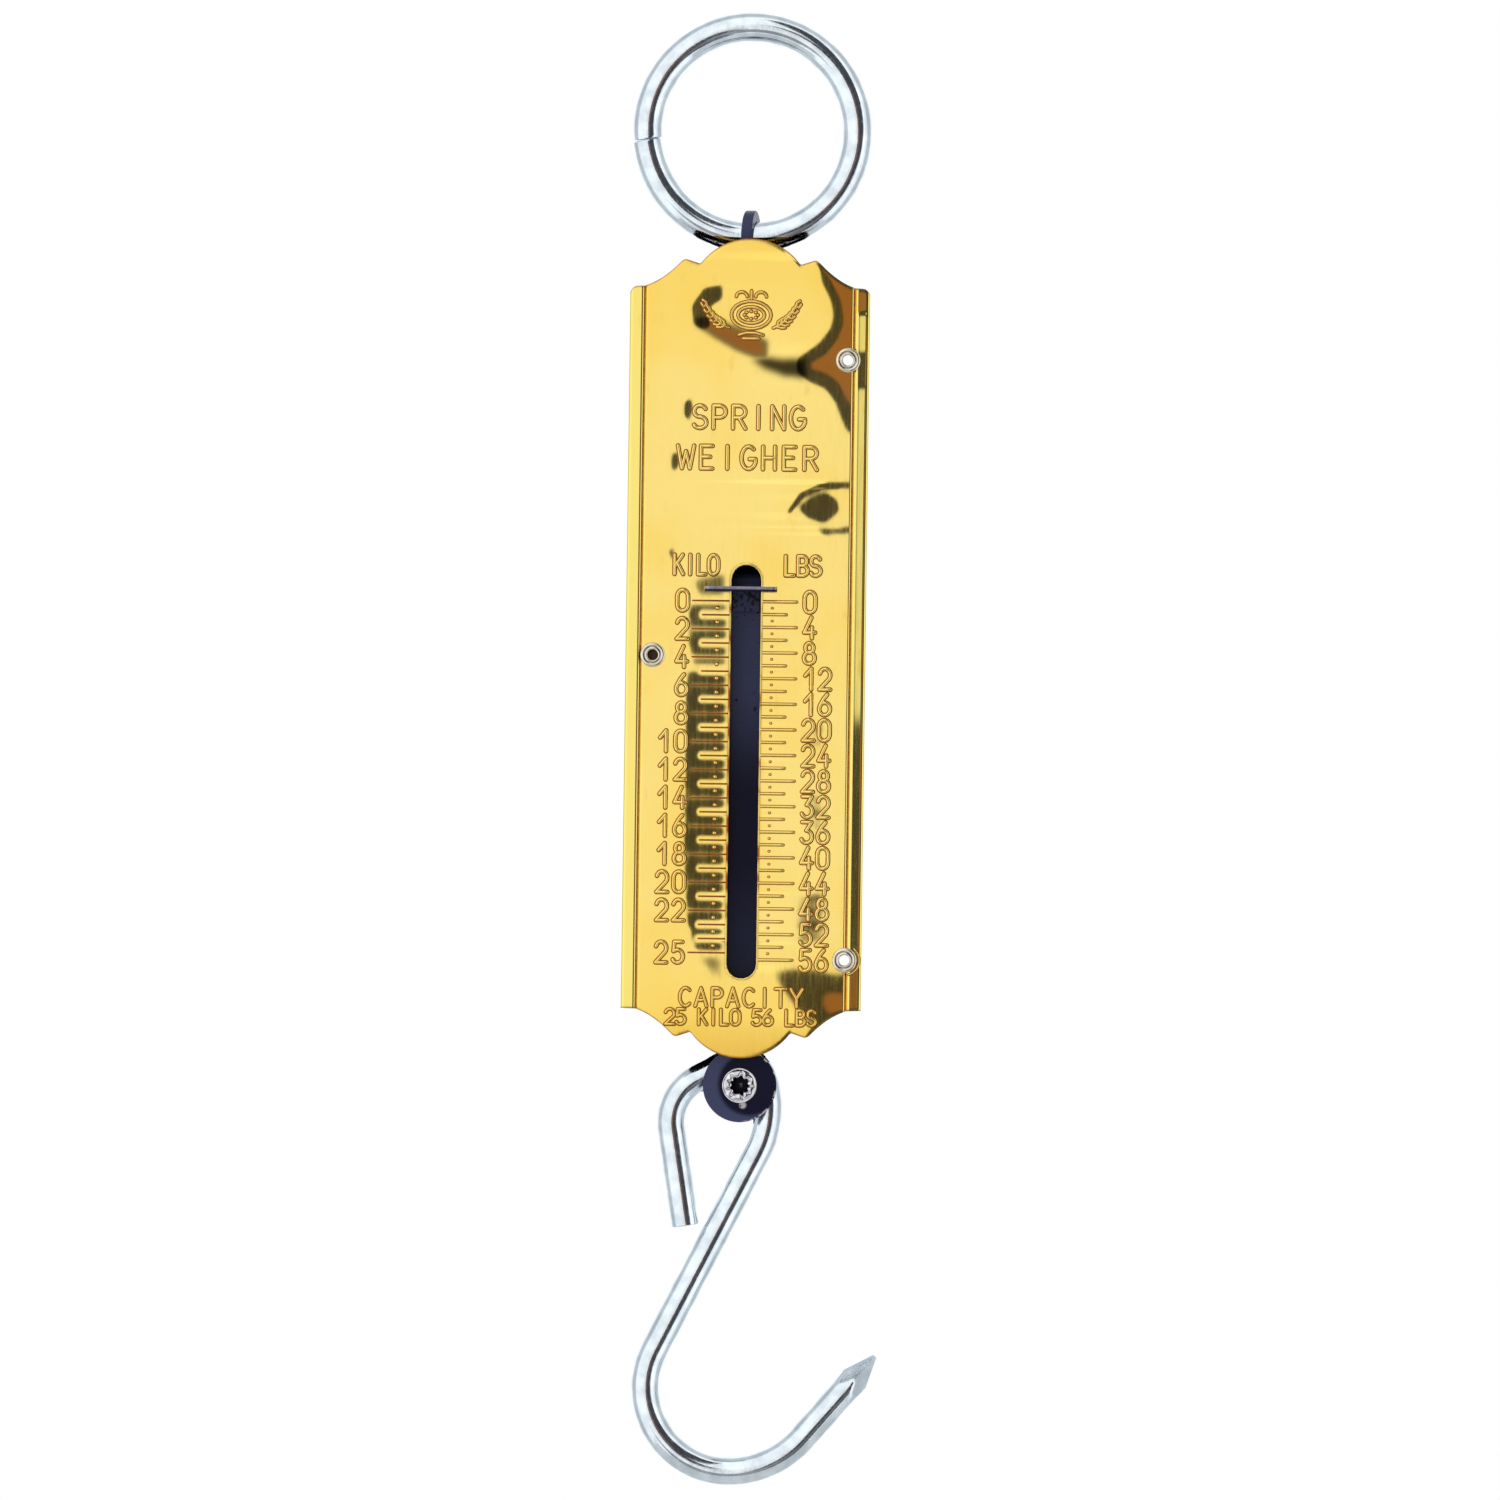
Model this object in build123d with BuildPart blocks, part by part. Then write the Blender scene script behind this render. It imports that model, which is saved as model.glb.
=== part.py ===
from build123d import *

import math
import os

# A hanging spring scale, in millimetres. +Z is up, the graduated plate faces -Y and
# +X is to the reader's right. The origin is the top of the ring's inside, where the
# ring rests on the peg that holds the scale.

os.makedirs("parts", exist_ok=True)

# ---------------------------------------------------------------- driving dimensions

SHEET = 0.5                     # casing sheet
STRAP_T = 1.4                   # draw strap thickness
FIT = 0.05                      # radial clearance of a loose pin
SNUG = 0.02                     # radial clearance of a riveted joint

# suspension ring
RING_WIRE_R = 2.45
RING_R = 17.5                   # centreline radius
RING_INNER_R = RING_R - RING_WIRE_R
RING_Z = -RING_INNER_R
RING_GAP_ANGLE = 185.0          # butt joint, degrees from +X towards +Z
RING_GAP_ARC = 1.0

# face plate
FACE_HALF = 19.95
FACE_TOP = -33.1                # crown of the upper dome
FACE_BOTTOM = -169.2            # crown of the lower dome
FACE_MID = (FACE_TOP + FACE_BOTTOM) / 2
CROWN_H = FACE_TOP - FACE_MID   # heights above and below the middle of the plate
VALLEY_X = 8.3
VALLEY_H = CROWN_H - 4.3
SHOULDER_X = 11.0
SHOULDER_H = CROWN_H - 3.15
SWEEP_X = 14.3                  # a point on the hollow sweep below the shoulder
SWEEP_H = CROWN_H - 6.4
GROOVE_X = 17.4
GROOVE_H = CROWN_H - 8.0
STRIP_H = CROWN_H - 8.1
CORNER_R = 1.4
FACE_FRONT = -6.5
FACE_BACK = FACE_FRONT + SHEET
GROOVE_W = 0.85
GROOVE_D = 0.25
HEM_LIP = 1.2
HEM_SHORT = 0.9                 # the hems stop this far above the foot of the strips
SHOULDER_R = 0.7
SLOT_W = 5.0
SLOT_TOP = -87.25
SLOT_BOTTOM = -156.0

# back shell, a trough with flanges
TROUGH_HALF = 14.1
BACK_INNER = 6.0
BACK_OUTER = BACK_INNER + SHEET
FLANGE_HALF = FACE_HALF - SHEET - FIT
BEND_R = 1.2

# eyelets and the blind rivet, as (x, z)
UPPER_EYELET = (16.4, -53.1)
LOWER_EYELET = (17.1, -152.7)
LEFT_RIVET = (-15.4, -102.4)
EYELET_BARREL_R = 1.25
EYELET_BORE_R = 0.9
EYELET_FLANGE_R = 2.05
EYELET_FLANGE_EDGE_R = 0.3
EYELET_ROLL_R = 1.5
EYELET_T = 0.4                  # flange, rear roll and the blind rivet's floor

# eye and upper pin
EYE_T = 1.8
EYE_TURN = 10.0                 # the eye sits slightly askew on its pin
EYE_HOLE_R = 3.0
EYE_HOLE_Z = -32.95
EYE_HEAD_R = 4.85
EYE_SHANK_W = 7.0
PIN_R = 1.5
PIN_HEAD_R = 2.2
PIN_HEAD_T = 0.8
PIN_HEAD_EDGE_R = 0.35
ANCHOR_Z = -43.5
CROSS_Z = -101.7
CROSS_HALF = 10.6
SLEEVE_R = 2.15
EYE_PLAY = 0.25                 # radial clearance of the eye on its pin
EYE_EDGE_R = 0.3
EYE_SLEEVE_X = 1.4              # half the space left for the eye between the sleeves

# springs
SPRING_X = 8.55
SPRING_WIRE_R = 0.7
SPRING_R = 4.1
SPRING_PITCH = 1.45
SPRING_SEAT = 0.1               # slack between a loop and its pin
LOOP_ARC = 222.0
LOOP_HEAD_GAP = 0.15            # between a lower loop and the head of its pin

# draw strap
STRAP_HALF = 3.5
STRAP_INNER = 2.5
STRAP_OUTER = STRAP_INNER + STRAP_T
FOLD_Z = -92.4
HEAD_Z = -173.8
HEAD_R = 6.125
BLOCK_BOTTOM = -104.7
BLOCK_GAP = 0.01                # between the block and the strap's legs

# pointer
BLADE_Z = -91.3
BLADE_T = 0.8
BLADE_LEFT = -6.9
BLADE_RIGHT = 5.1
BLADE_BACK = FACE_FRONT - 0.4
BLADE_FRONT = BLADE_BACK - 1.6
BLADE_END_R = 0.7
STEM_HALF = 2.2
FOOT_BOTTOM = -95.0
FOOT_T = 0.8
STUDS = [(-0.3, -92.75), (1.0, -93.35)]
STUD_R = 0.4
STUD_HEAD_R = 0.6
STUD_HEAD_T = 0.25
STUD_LENGTH = 2.15

# hook and its rivet
HOOK_WIRE_R = 2.35
RIVET_R = 1.7
RIVET_BORE_R = 1.3
RIVET_FLANGE_R = 2.95
RIVET_FLANGE_T = 0.6
RIVET_FLANGE_EDGE_R = 0.4
RIVET_BORE_END = -0.5           # the bore is blind; y of its floor
RIVET_SLITS = 8
RIVET_SLIT_L = 1.2
RIVET_SLIT_W = 0.3
HOOK_EYE_R = RIVET_R + HOOK_WIRE_R + FIT
POINT_L = 5.6
POINT_TIP = 0.25
POINT_FACET_TURN = 20.0

# lower guide
GUIDE_HALF = 5.4
GUIDE_TOP = -166.3
GUIDE_T = 0.8
GUIDE_TAB_TOP = -157.5
GUIDE_FRONT = -5.6
GUIDE_RIVETS = [(-3.2, -161.0), (3.2, -161.0)]
GUIDE_RIVET_R = 1.0
GUIDE_HEAD_R = 1.7
GUIDE_HEAD_T = 0.7
GUIDE_HEAD_EDGE_R = 0.3
GUIDE_CORNER_R = 1.2
GUIDE_PLAY = 0.2                # round the strap


# ---------------------------------------------------------------- shared shapes

def half_outline(level):
    """Right half of one end of the plate: dome, shoulder, hollow sweep, strip."""
    side = math.copysign(1, level)
    z = {
        "crown": FACE_MID + side * CROWN_H,
        "valley": FACE_MID + side * VALLEY_H,
        "shoulder": FACE_MID + side * SHOULDER_H,
        "sweep": FACE_MID + side * SWEEP_H,
        "groove": FACE_MID + side * GROOVE_H,
        "strip": FACE_MID + side * STRIP_H,
    }
    dome_rise = CROWN_H - VALLEY_H
    dome_r = (VALLEY_X**2 + dome_rise**2) / (2 * dome_rise)
    half_way = VALLEY_X / 2
    half_z = z["crown"] - side * (dome_r - math.sqrt(dome_r**2 - half_way**2))
    ThreePointArc((0, z["crown"]), (half_way, half_z), (VALLEY_X, z["valley"]))
    Line((VALLEY_X, z["valley"]), (SHOULDER_X, z["shoulder"]))
    ThreePointArc(
        (SHOULDER_X, z["shoulder"]), (SWEEP_X, z["sweep"]), (GROOVE_X, z["groove"])
    )
    Line((GROOVE_X, z["groove"]), (FACE_HALF, z["strip"]))
    Line((FACE_HALF, z["strip"]), (FACE_HALF, FACE_MID))


def face_outline():
    """The whole outline of the face plate, rounded at its shoulders and top corners."""
    with BuildSketch() as outline:
        with BuildLine():
            half_outline(1)
            half_outline(-1)
            mirror(about=Plane.YZ)
        make_face()
        corners = outline.vertices()
        shoulders = corners.filter_by(lambda v: abs(abs(v.X) - SHOULDER_X) < 0.1)
        fillet(shoulders, radius=SHOULDER_R)
        corners = outline.vertices()
        top = corners.filter_by(lambda v: abs(v.X) > FACE_HALF - 0.1 and v.Y > FACE_MID + 1)
        fillet(top, radius=CORNER_R)
    return outline.sketch


OUTLINE = face_outline()


def eyelet(place, blind):
    """A tubular eyelet at place (x, z), rolled over in front and spread behind."""
    front = FACE_FRONT - EYELET_T
    rear = FACE_BACK + SHEET
    tail = rear + EYELET_T
    x, z = place
    with BuildPart() as part:
        with BuildSketch(Plane(origin=(x, front, z), z_dir=(0, 1, 0))):
            Circle(EYELET_FLANGE_R)
        extrude(amount=EYELET_T)
        fillet(part.edges().group_by(Axis.Y)[0], radius=EYELET_FLANGE_EDGE_R)
        with BuildSketch(Plane(origin=(x, FACE_FRONT, z), z_dir=(0, 1, 0))):
            Circle(EYELET_BARREL_R)
        extrude(amount=tail - FACE_FRONT)
        if not blind:
            with BuildSketch(Plane(origin=(x, rear, z), z_dir=(0, 1, 0))):
                Circle(EYELET_ROLL_R)
            extrude(amount=EYELET_T)
        depth = tail - front - (EYELET_T if blind else 0)
        with BuildSketch(Plane(origin=(x, front, z), z_dir=(0, 1, 0))):
            Circle(EYELET_BORE_R)
        extrude(amount=depth, mode=Mode.SUBTRACT)
    return part.part


def pin_along_x(half, z, head_t):
    """A round pin across the scale with a peened head on each end."""
    with BuildPart() as part:
        with BuildSketch(Plane.YZ):
            with Locations((0, z)):
                Circle(PIN_R)
        extrude(amount=half, both=True)
        for side in (-1, 1):
            with BuildSketch(Plane.YZ.offset(side * (half - head_t))):
                with Locations((0, z)):
                    Circle(PIN_HEAD_R)
            extrude(amount=side * head_t)
        outer = part.edges().filter_by(GeomType.CIRCLE).group_by(Axis.X)
        fillet(outer[0] + outer[-1], radius=PIN_HEAD_EDGE_R)
    return part.part


def sleeve_pair(inner_x, outer_x, z):
    """Two tubes on a cross pin, one each side of the middle."""
    with BuildPart() as part:
        for side in (-1, 1):
            with BuildSketch(Plane.YZ.offset(side * inner_x)):
                with Locations((0, z)):
                    Circle(SLEEVE_R)
                    Circle(PIN_R + FIT, mode=Mode.SUBTRACT)
            extrude(amount=side * (outer_x - inner_x))
    return part.part


def finish(part, name):
    """Label a finished piece and write it."""
    part.label = name
    export_step(part, f"parts/{name}.step")


# ---------------------------------------------------------------- suspension ring

gap_start = math.radians(RING_GAP_ANGLE - RING_GAP_ARC / 2)
ring_start = Plane(
    origin=(RING_R * math.cos(gap_start), 0, RING_Z + RING_R * math.sin(gap_start)),
    x_dir=(math.cos(gap_start), 0, math.sin(gap_start)),
    z_dir=(-math.sin(gap_start), 0, math.cos(gap_start)),
)
with BuildPart() as suspension_ring:
    with BuildSketch(ring_start):
        Circle(RING_WIRE_R)
    revolve(axis=Axis((0, 0, RING_Z), (0, 1, 0)), revolution_arc=360 - RING_GAP_ARC)
finish(suspension_ring.part, "suspension_ring")

# ---------------------------------------------------------------- ring eye

turn = math.radians(EYE_TURN)
eye_plane = Plane(
    origin=(0, 0, 0),
    x_dir=(math.sin(turn), math.cos(turn), 0),
    z_dir=(math.cos(turn), -math.sin(turn), 0),
)
with BuildPart() as ring_eye:
    with BuildSketch(eye_plane):
        with Locations((0, EYE_HOLE_Z)):
            Circle(EYE_HEAD_R)
        with Locations((0, ANCHOR_Z)):
            Circle(EYE_SHANK_W / 2)
        with Locations((0, (EYE_HOLE_Z + ANCHOR_Z) / 2)):
            Rectangle(EYE_SHANK_W, EYE_HOLE_Z - ANCHOR_Z)
        with Locations((0, EYE_HOLE_Z)):
            Circle(EYE_HOLE_R, mode=Mode.SUBTRACT)
        with Locations((0, ANCHOR_Z)):
            Circle(PIN_R + EYE_PLAY, mode=Mode.SUBTRACT)
    extrude(amount=EYE_T / 2, both=True)
    top_rims = ring_eye.edges().filter_by(GeomType.CIRCLE).sort_by(Axis.Z)[-2:]
    fillet(top_rims, radius=EYE_EDGE_R)
finish(ring_eye.part, "ring_eye")

# ---------------------------------------------------------------- front plate

with BuildPart() as front_plate:
    with BuildSketch(Plane.XZ.offset(-FACE_BACK)):
        add(OUTLINE)
        with Locations((0, (SLOT_TOP + SLOT_BOTTOM) / 2)):
            SlotOverall(SLOT_TOP - SLOT_BOTTOM, SLOT_W, rotation=90, mode=Mode.SUBTRACT)
        with Locations(UPPER_EYELET, LOWER_EYELET, LEFT_RIVET):
            Circle(EYELET_BARREL_R + SNUG, mode=Mode.SUBTRACT)
    extrude(amount=SHEET)
    strip_top = FACE_MID + STRIP_H
    strip_low = FACE_MID - STRIP_H
    hem_top = strip_top - CORNER_R
    hem_low = strip_low + HEM_SHORT
    for side in (-1, 1):
        groove_x = side * GROOVE_X
        with BuildSketch(Plane.XY.offset(strip_low - 1)):
            with BuildLine():
                Polyline(
                    (groove_x - GROOVE_W / 2, FACE_FRONT),
                    (groove_x, FACE_FRONT + GROOVE_D),
                    (groove_x + GROOVE_W / 2, FACE_FRONT),
                    close=True,
                )
            make_face()
        extrude(amount=strip_top - strip_low + 2, mode=Mode.SUBTRACT)
        wall_x = side * (FACE_HALF - SHEET / 2)
        with BuildSketch(Plane.XY.offset(hem_low)):
            with Locations((wall_x, FACE_BACK + SHEET)):
                Rectangle(SHEET, 2 * SHEET)
            with Locations((side * (FACE_HALF - HEM_LIP / 2), FACE_BACK + SHEET * 1.5)):
                Rectangle(HEM_LIP, SHEET)
        extrude(amount=hem_top - hem_low)
finish(front_plate.part, "front_plate")

# ---------------------------------------------------------------- back shell

with BuildPart() as back_shell:
    with BuildSketch(Plane.XY.offset(FACE_BOTTOM)):
        with BuildLine():
            Polyline(
                (-FLANGE_HALF, FACE_BACK),
                (-FLANGE_HALF, FACE_BACK + SHEET),
                (-TROUGH_HALF, FACE_BACK + SHEET),
                (-TROUGH_HALF, BACK_OUTER),
                (TROUGH_HALF, BACK_OUTER),
                (TROUGH_HALF, FACE_BACK + SHEET),
                (FLANGE_HALF, FACE_BACK + SHEET),
                (FLANGE_HALF, FACE_BACK),
                (TROUGH_HALF - SHEET, FACE_BACK),
                (TROUGH_HALF - SHEET, BACK_INNER),
                (-TROUGH_HALF + SHEET, BACK_INNER),
                (-TROUGH_HALF + SHEET, FACE_BACK),
                close=True,
            )
        make_face()
    extrude(amount=FACE_TOP - FACE_BOTTOM)
    upright = back_shell.edges().filter_by(Axis.Z)
    outer_bends = upright.filter_by(lambda e: e.center().Y > BACK_OUTER - 0.1)
    fillet(outer_bends, radius=BEND_R)
    upright = back_shell.edges().filter_by(Axis.Z)
    inner_bends = upright.filter_by(
        lambda e: abs(e.center().Y - BACK_INNER) < 0.01
        and abs(e.center().X) > TROUGH_HALF - SHEET - 0.1
    )
    fillet(inner_bends, radius=BEND_R - SHEET)
    with BuildSketch(Plane.XZ.offset(-BACK_OUTER - 1)):
        add(OUTLINE)
    extrude(amount=BACK_OUTER - FACE_FRONT + 2, mode=Mode.INTERSECT)
    with BuildSketch(Plane.XZ.offset(-FACE_BACK - SHEET)):
        with Locations(UPPER_EYELET, LOWER_EYELET, LEFT_RIVET):
            Circle(EYELET_BARREL_R + SNUG)
    extrude(amount=SHEET, mode=Mode.SUBTRACT)
    with BuildSketch(Plane.YZ):
        with Locations((0, ANCHOR_Z)):
            Circle(PIN_R + SNUG)
    extrude(amount=TROUGH_HALF + 1, both=True, mode=Mode.SUBTRACT)
    with BuildSketch(Plane.XZ.offset(-BACK_OUTER)):
        with Locations(*GUIDE_RIVETS):
            Circle(GUIDE_RIVET_R + SNUG)
    extrude(amount=SHEET, mode=Mode.SUBTRACT)
finish(back_shell.part, "back_shell")

# ---------------------------------------------------------------- eyelets and blind rivet

finish(eyelet(UPPER_EYELET, blind=False), "upper_right_eyelet")
finish(eyelet(LOWER_EYELET, blind=False), "lower_right_eyelet")
finish(eyelet(LEFT_RIVET, blind=True), "left_rivet")

# ---------------------------------------------------------------- cross pins and sleeves

anchor_pin = pin_along_x(TROUGH_HALF + PIN_HEAD_T, ANCHOR_Z, PIN_HEAD_T)
finish(anchor_pin, "anchor_pin")
spring_side = SPRING_X - SPRING_WIRE_R - SPRING_SEAT
finish(sleeve_pair(EYE_SLEEVE_X, spring_side, ANCHOR_Z), "anchor_sleeves")
cross_head_t = CROSS_HALF - SPRING_X - SPRING_WIRE_R - LOOP_HEAD_GAP
cross_pin = pin_along_x(CROSS_HALF, CROSS_Z, cross_head_t)
finish(cross_pin, "cross_pin")
finish(sleeve_pair(STRAP_HALF + FIT, spring_side, CROSS_Z), "cross_sleeves")

# ---------------------------------------------------------------- springs

# Each loop hangs on the far side of its pin, so its centre lies towards the coils.
loop_drop = SPRING_R - SPRING_WIRE_R - PIN_R - SPRING_SEAT
coil_top = ANCHOR_Z - loop_drop - SPRING_R
coil_low = CROSS_Z + loop_drop + SPRING_R
coil_turns = round((coil_top - coil_low) / SPRING_PITCH)


def spring(x):
    """A close-wound extension spring whose end loops stand in the YZ plane."""
    with BuildPart() as part:
        coils = Helix(
            pitch=(coil_top - coil_low) / coil_turns,
            height=coil_top - coil_low,
            radius=SPRING_R,
            center=(x, 0, coil_low),
        )
        coils = coils.rotate(Axis((x, 0, 0), (0, 0, 1)), 90)
        with BuildLine() as wire:
            add(coils)
            for end, way in ((0, -1), (1, 1)):
                rim = coils @ end
                loop_z = rim.Z + way * SPRING_R
                start = Vector(x, rim.Y, loop_z)
                angle = math.radians(LOOP_ARC)
                halfway = Vector(
                    x,
                    rim.Y * math.cos(angle / 2),
                    loop_z + way * SPRING_R * math.sin(angle / 2),
                )
                stop = Vector(
                    x,
                    rim.Y * math.cos(angle),
                    loop_z + way * SPRING_R * math.sin(angle),
                )
                if way > 0:
                    Spline(rim, start, tangents=(coils % 1, (0, 0, 1)))
                else:
                    Spline(start, rim, tangents=((0, 0, 1), coils % 0))
                ThreePointArc(start, halfway, stop)
        path = wire.wires()[0]
        with BuildSketch(Plane(origin=path @ 0, z_dir=path % 0)) as section:
            Circle(SPRING_WIRE_R)
        sweep(sections=section.sketch, path=path)
    return part.part


left_spring = spring(-SPRING_X)
right_spring = spring(SPRING_X)
finish(left_spring, "left_spring")
finish(right_spring, "right_spring")

# ---------------------------------------------------------------- draw strap

with BuildPart() as draw_strap:
    with BuildSketch(Plane.YZ):
        with Locations((0, FOLD_Z)):
            Circle(STRAP_OUTER)
        with Locations((0, (FOLD_Z + HEAD_Z) / 2)):
            Rectangle(2 * STRAP_OUTER, FOLD_Z - HEAD_Z)
        with Locations((0, FOLD_Z)):
            Circle(STRAP_INNER, mode=Mode.SUBTRACT)
        with Locations((0, (FOLD_Z + HEAD_Z) / 2 - 5)):
            Rectangle(2 * STRAP_INNER, FOLD_Z - HEAD_Z + 10, mode=Mode.SUBTRACT)
    extrude(amount=STRAP_HALF, both=True)
    for face_y in (STRAP_OUTER, -STRAP_INNER):
        with BuildSketch(Plane.XZ.offset(-face_y)):
            with Locations((0, HEAD_Z)):
                Circle(HEAD_R)
        extrude(amount=STRAP_T)
    with BuildSketch(Plane.XZ):
        with Locations((0, HEAD_Z)):
            Circle(RIVET_R + SNUG)
    extrude(amount=STRAP_OUTER + 1, both=True, mode=Mode.SUBTRACT)
    with BuildSketch(Plane.XZ.offset(STRAP_INNER - 0.5)):
        with Locations(*STUDS):
            Circle(STUD_R + SNUG)
    extrude(amount=STRAP_T + 1, mode=Mode.SUBTRACT)
finish(draw_strap.part, "draw_strap")

with BuildPart() as saddle_block:
    with BuildSketch(Plane.YZ):
        with Locations((0, FOLD_Z)):
            Circle(STRAP_INNER - BLOCK_GAP)
        with Locations((0, (FOLD_Z + BLOCK_BOTTOM) / 2)):
            Rectangle(2 * (STRAP_INNER - BLOCK_GAP), FOLD_Z - BLOCK_BOTTOM)
        with Locations((0, CROSS_Z)):
            Circle(PIN_R + SNUG, mode=Mode.SUBTRACT)
    extrude(amount=STRAP_HALF, both=True)
finish(saddle_block.part, "saddle_block")

# ---------------------------------------------------------------- pointer

with BuildPart() as pointer:
    with BuildSketch(Plane.XY.offset(BLADE_Z - BLADE_T / 2)):
        with Locations((0, (BLADE_BACK - STRAP_OUTER) / 2)):
            Rectangle(2 * STEM_HALF, -BLADE_BACK - STRAP_OUTER)
        with Locations(((BLADE_LEFT + BLADE_RIGHT) / 2, (BLADE_BACK + BLADE_FRONT) / 2)):
            Rectangle(BLADE_RIGHT - BLADE_LEFT, BLADE_BACK - BLADE_FRONT)
    extrude(amount=BLADE_T)
    ends = pointer.edges().filter_by(Axis.Z).group_by(Axis.Y)[0]
    fillet(ends, radius=BLADE_END_R)
    foot_top = BLADE_Z + BLADE_T / 2
    with BuildSketch(Plane.XZ.offset(STRAP_OUTER)):
        with Locations((0, (foot_top + FOOT_BOTTOM) / 2)):
            Rectangle(2 * STEM_HALF, foot_top - FOOT_BOTTOM)
    extrude(amount=FOOT_T)
    with BuildSketch(Plane.XZ.offset(STRAP_OUTER - 0.5)):
        with Locations(*STUDS):
            Circle(STUD_R + SNUG)
    extrude(amount=FOOT_T + 1, mode=Mode.SUBTRACT)
finish(pointer.part, "pointer")

with BuildPart() as pointer_rivets:
    with BuildSketch(Plane.XZ.offset(STRAP_OUTER + FOOT_T - STUD_LENGTH)):
        with Locations(*STUDS):
            Circle(STUD_R)
    extrude(amount=STUD_LENGTH)
    with BuildSketch(Plane.XZ.offset(STRAP_OUTER + FOOT_T)):
        with Locations(*STUDS):
            Circle(STUD_HEAD_R)
    extrude(amount=STUD_HEAD_T)
finish(pointer_rivets.part, "pointer_rivets")

# ---------------------------------------------------------------- hook rivet

with BuildPart() as hook_rivet:
    with BuildSketch(Plane.XZ.offset(-STRAP_OUTER)):
        with Locations((0, HEAD_Z)):
            Circle(RIVET_R)
    extrude(amount=2 * STRAP_OUTER)
    for face_y, out in ((STRAP_OUTER, -1), (-STRAP_OUTER, 1)):
        with BuildSketch(Plane.XZ.offset(-face_y)):
            with Locations((0, HEAD_Z)):
                Circle(RIVET_FLANGE_R)
        extrude(amount=out * RIVET_FLANGE_T)
    rims = hook_rivet.edges().filter_by(GeomType.CIRCLE).group_by(Axis.Y)
    fillet(rims[0] + rims[-1], radius=RIVET_FLANGE_EDGE_R)
    with BuildSketch(Plane.XZ.offset(-RIVET_BORE_END)):
        with Locations((0, HEAD_Z)):
            Circle(RIVET_BORE_R)
    extrude(amount=STRAP_OUTER + RIVET_FLANGE_T, mode=Mode.SUBTRACT)
    with BuildSketch(Plane.XZ.offset(STRAP_OUTER + 0.15)):
        with Locations((0, HEAD_Z)):
            with PolarLocations(RIVET_BORE_R + RIVET_SLIT_L / 3, RIVET_SLITS):
                Rectangle(RIVET_SLIT_L, RIVET_SLIT_W)
    extrude(amount=RIVET_FLANGE_T, mode=Mode.SUBTRACT)
finish(hook_rivet.part, "hook_rivet")

# ---------------------------------------------------------------- hook

# The wire is laid from the crown of its eye, over the rivet, to both ends. Each step is
# a bend (radius, degrees; positive to the left of the way it runs) and the straight
# length after it.
TAIL_STEPS = [(HOOK_EYE_R, 27.5, 5.7), (8.2, 71.5, 16.2)]
SHANK_STEPS = [
    (HOOK_EYE_R, -69.9, 0),
    (15.9, -46.9, 37.0),
    (13.9, 116.8, 0),
    (16.4, 49.2, 12.7),
]


def lay_wire(start, heading, steps):
    """Lay bends and straights end to end, and return where and which way they end."""
    for radius, bend, straight in steps:
        arc = JernArc(start, heading, radius, bend)
        start, heading = arc @ 1, arc % 1
        if straight > 0:
            line = Line(start, start + heading * straight)
            start = line @ 1
    return start, heading


with BuildPart() as hook:
    crown = (0, HEAD_Z + HOOK_EYE_R)
    with BuildLine(Plane.XZ) as tail_path:
        lay_wire(crown, (-1, 0), TAIL_STEPS)
    with BuildLine(Plane.XZ) as shank_path:
        point_base, point_way = lay_wire(crown, (1, 0), SHANK_STEPS)
    with BuildSketch(Plane(origin=(0, 0, HEAD_Z + HOOK_EYE_R), z_dir=(1, 0, 0))) as section:
        Circle(HOOK_WIRE_R)
    sweep(sections=section.sketch, path=tail_path.line)
    sweep(sections=section.sketch, path=shank_path.line)

point_plane = Plane(origin=point_base, z_dir=point_way)
with BuildPart() as ground_point:
    with BuildSketch(point_plane):
        Circle(HOOK_WIRE_R)
    extrude(amount=POINT_L)
    with BuildSketch(point_plane) as facets_base:
        Rectangle(2 * HOOK_WIRE_R, 2 * HOOK_WIRE_R, rotation=POINT_FACET_TURN)
    with BuildSketch(point_plane.offset(POINT_L)) as facets_tip:
        Rectangle(2 * POINT_TIP, 2 * POINT_TIP, rotation=POINT_FACET_TURN)
    loft(sections=[facets_base.sketch, facets_tip.sketch], mode=Mode.INTERSECT)

with hook:
    add(ground_point.part)
finish(hook.part, "hook")

# ---------------------------------------------------------------- lower guide

with BuildPart() as lower_guide:
    with BuildSketch(Plane.XY.offset(GUIDE_TOP - GUIDE_T)):
        with Locations((0, (GUIDE_FRONT + BACK_INNER) / 2)):
            Rectangle(2 * GUIDE_HALF, BACK_INNER - GUIDE_FRONT)
        opening = (2 * (STRAP_HALF + GUIDE_PLAY), 2 * (STRAP_OUTER + GUIDE_PLAY))
        Rectangle(*opening, mode=Mode.SUBTRACT)
    extrude(amount=GUIDE_T)
    with BuildSketch(Plane.XZ.offset(-BACK_INNER)):
        with Locations((0, (GUIDE_TOP - GUIDE_T + GUIDE_TAB_TOP) / 2)):
            Rectangle(2 * GUIDE_HALF, GUIDE_TAB_TOP - GUIDE_TOP + GUIDE_T)
    extrude(amount=GUIDE_T)
    front_corners = lower_guide.edges().filter_by(Axis.Z).group_by(Axis.Y)[0]
    fillet(front_corners, radius=GUIDE_CORNER_R)
    with BuildSketch(Plane.XZ.offset(-BACK_INNER)):
        with Locations(*GUIDE_RIVETS):
            Circle(GUIDE_RIVET_R + SNUG)
    extrude(amount=GUIDE_T, mode=Mode.SUBTRACT)
finish(lower_guide.part, "lower_guide")

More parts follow.
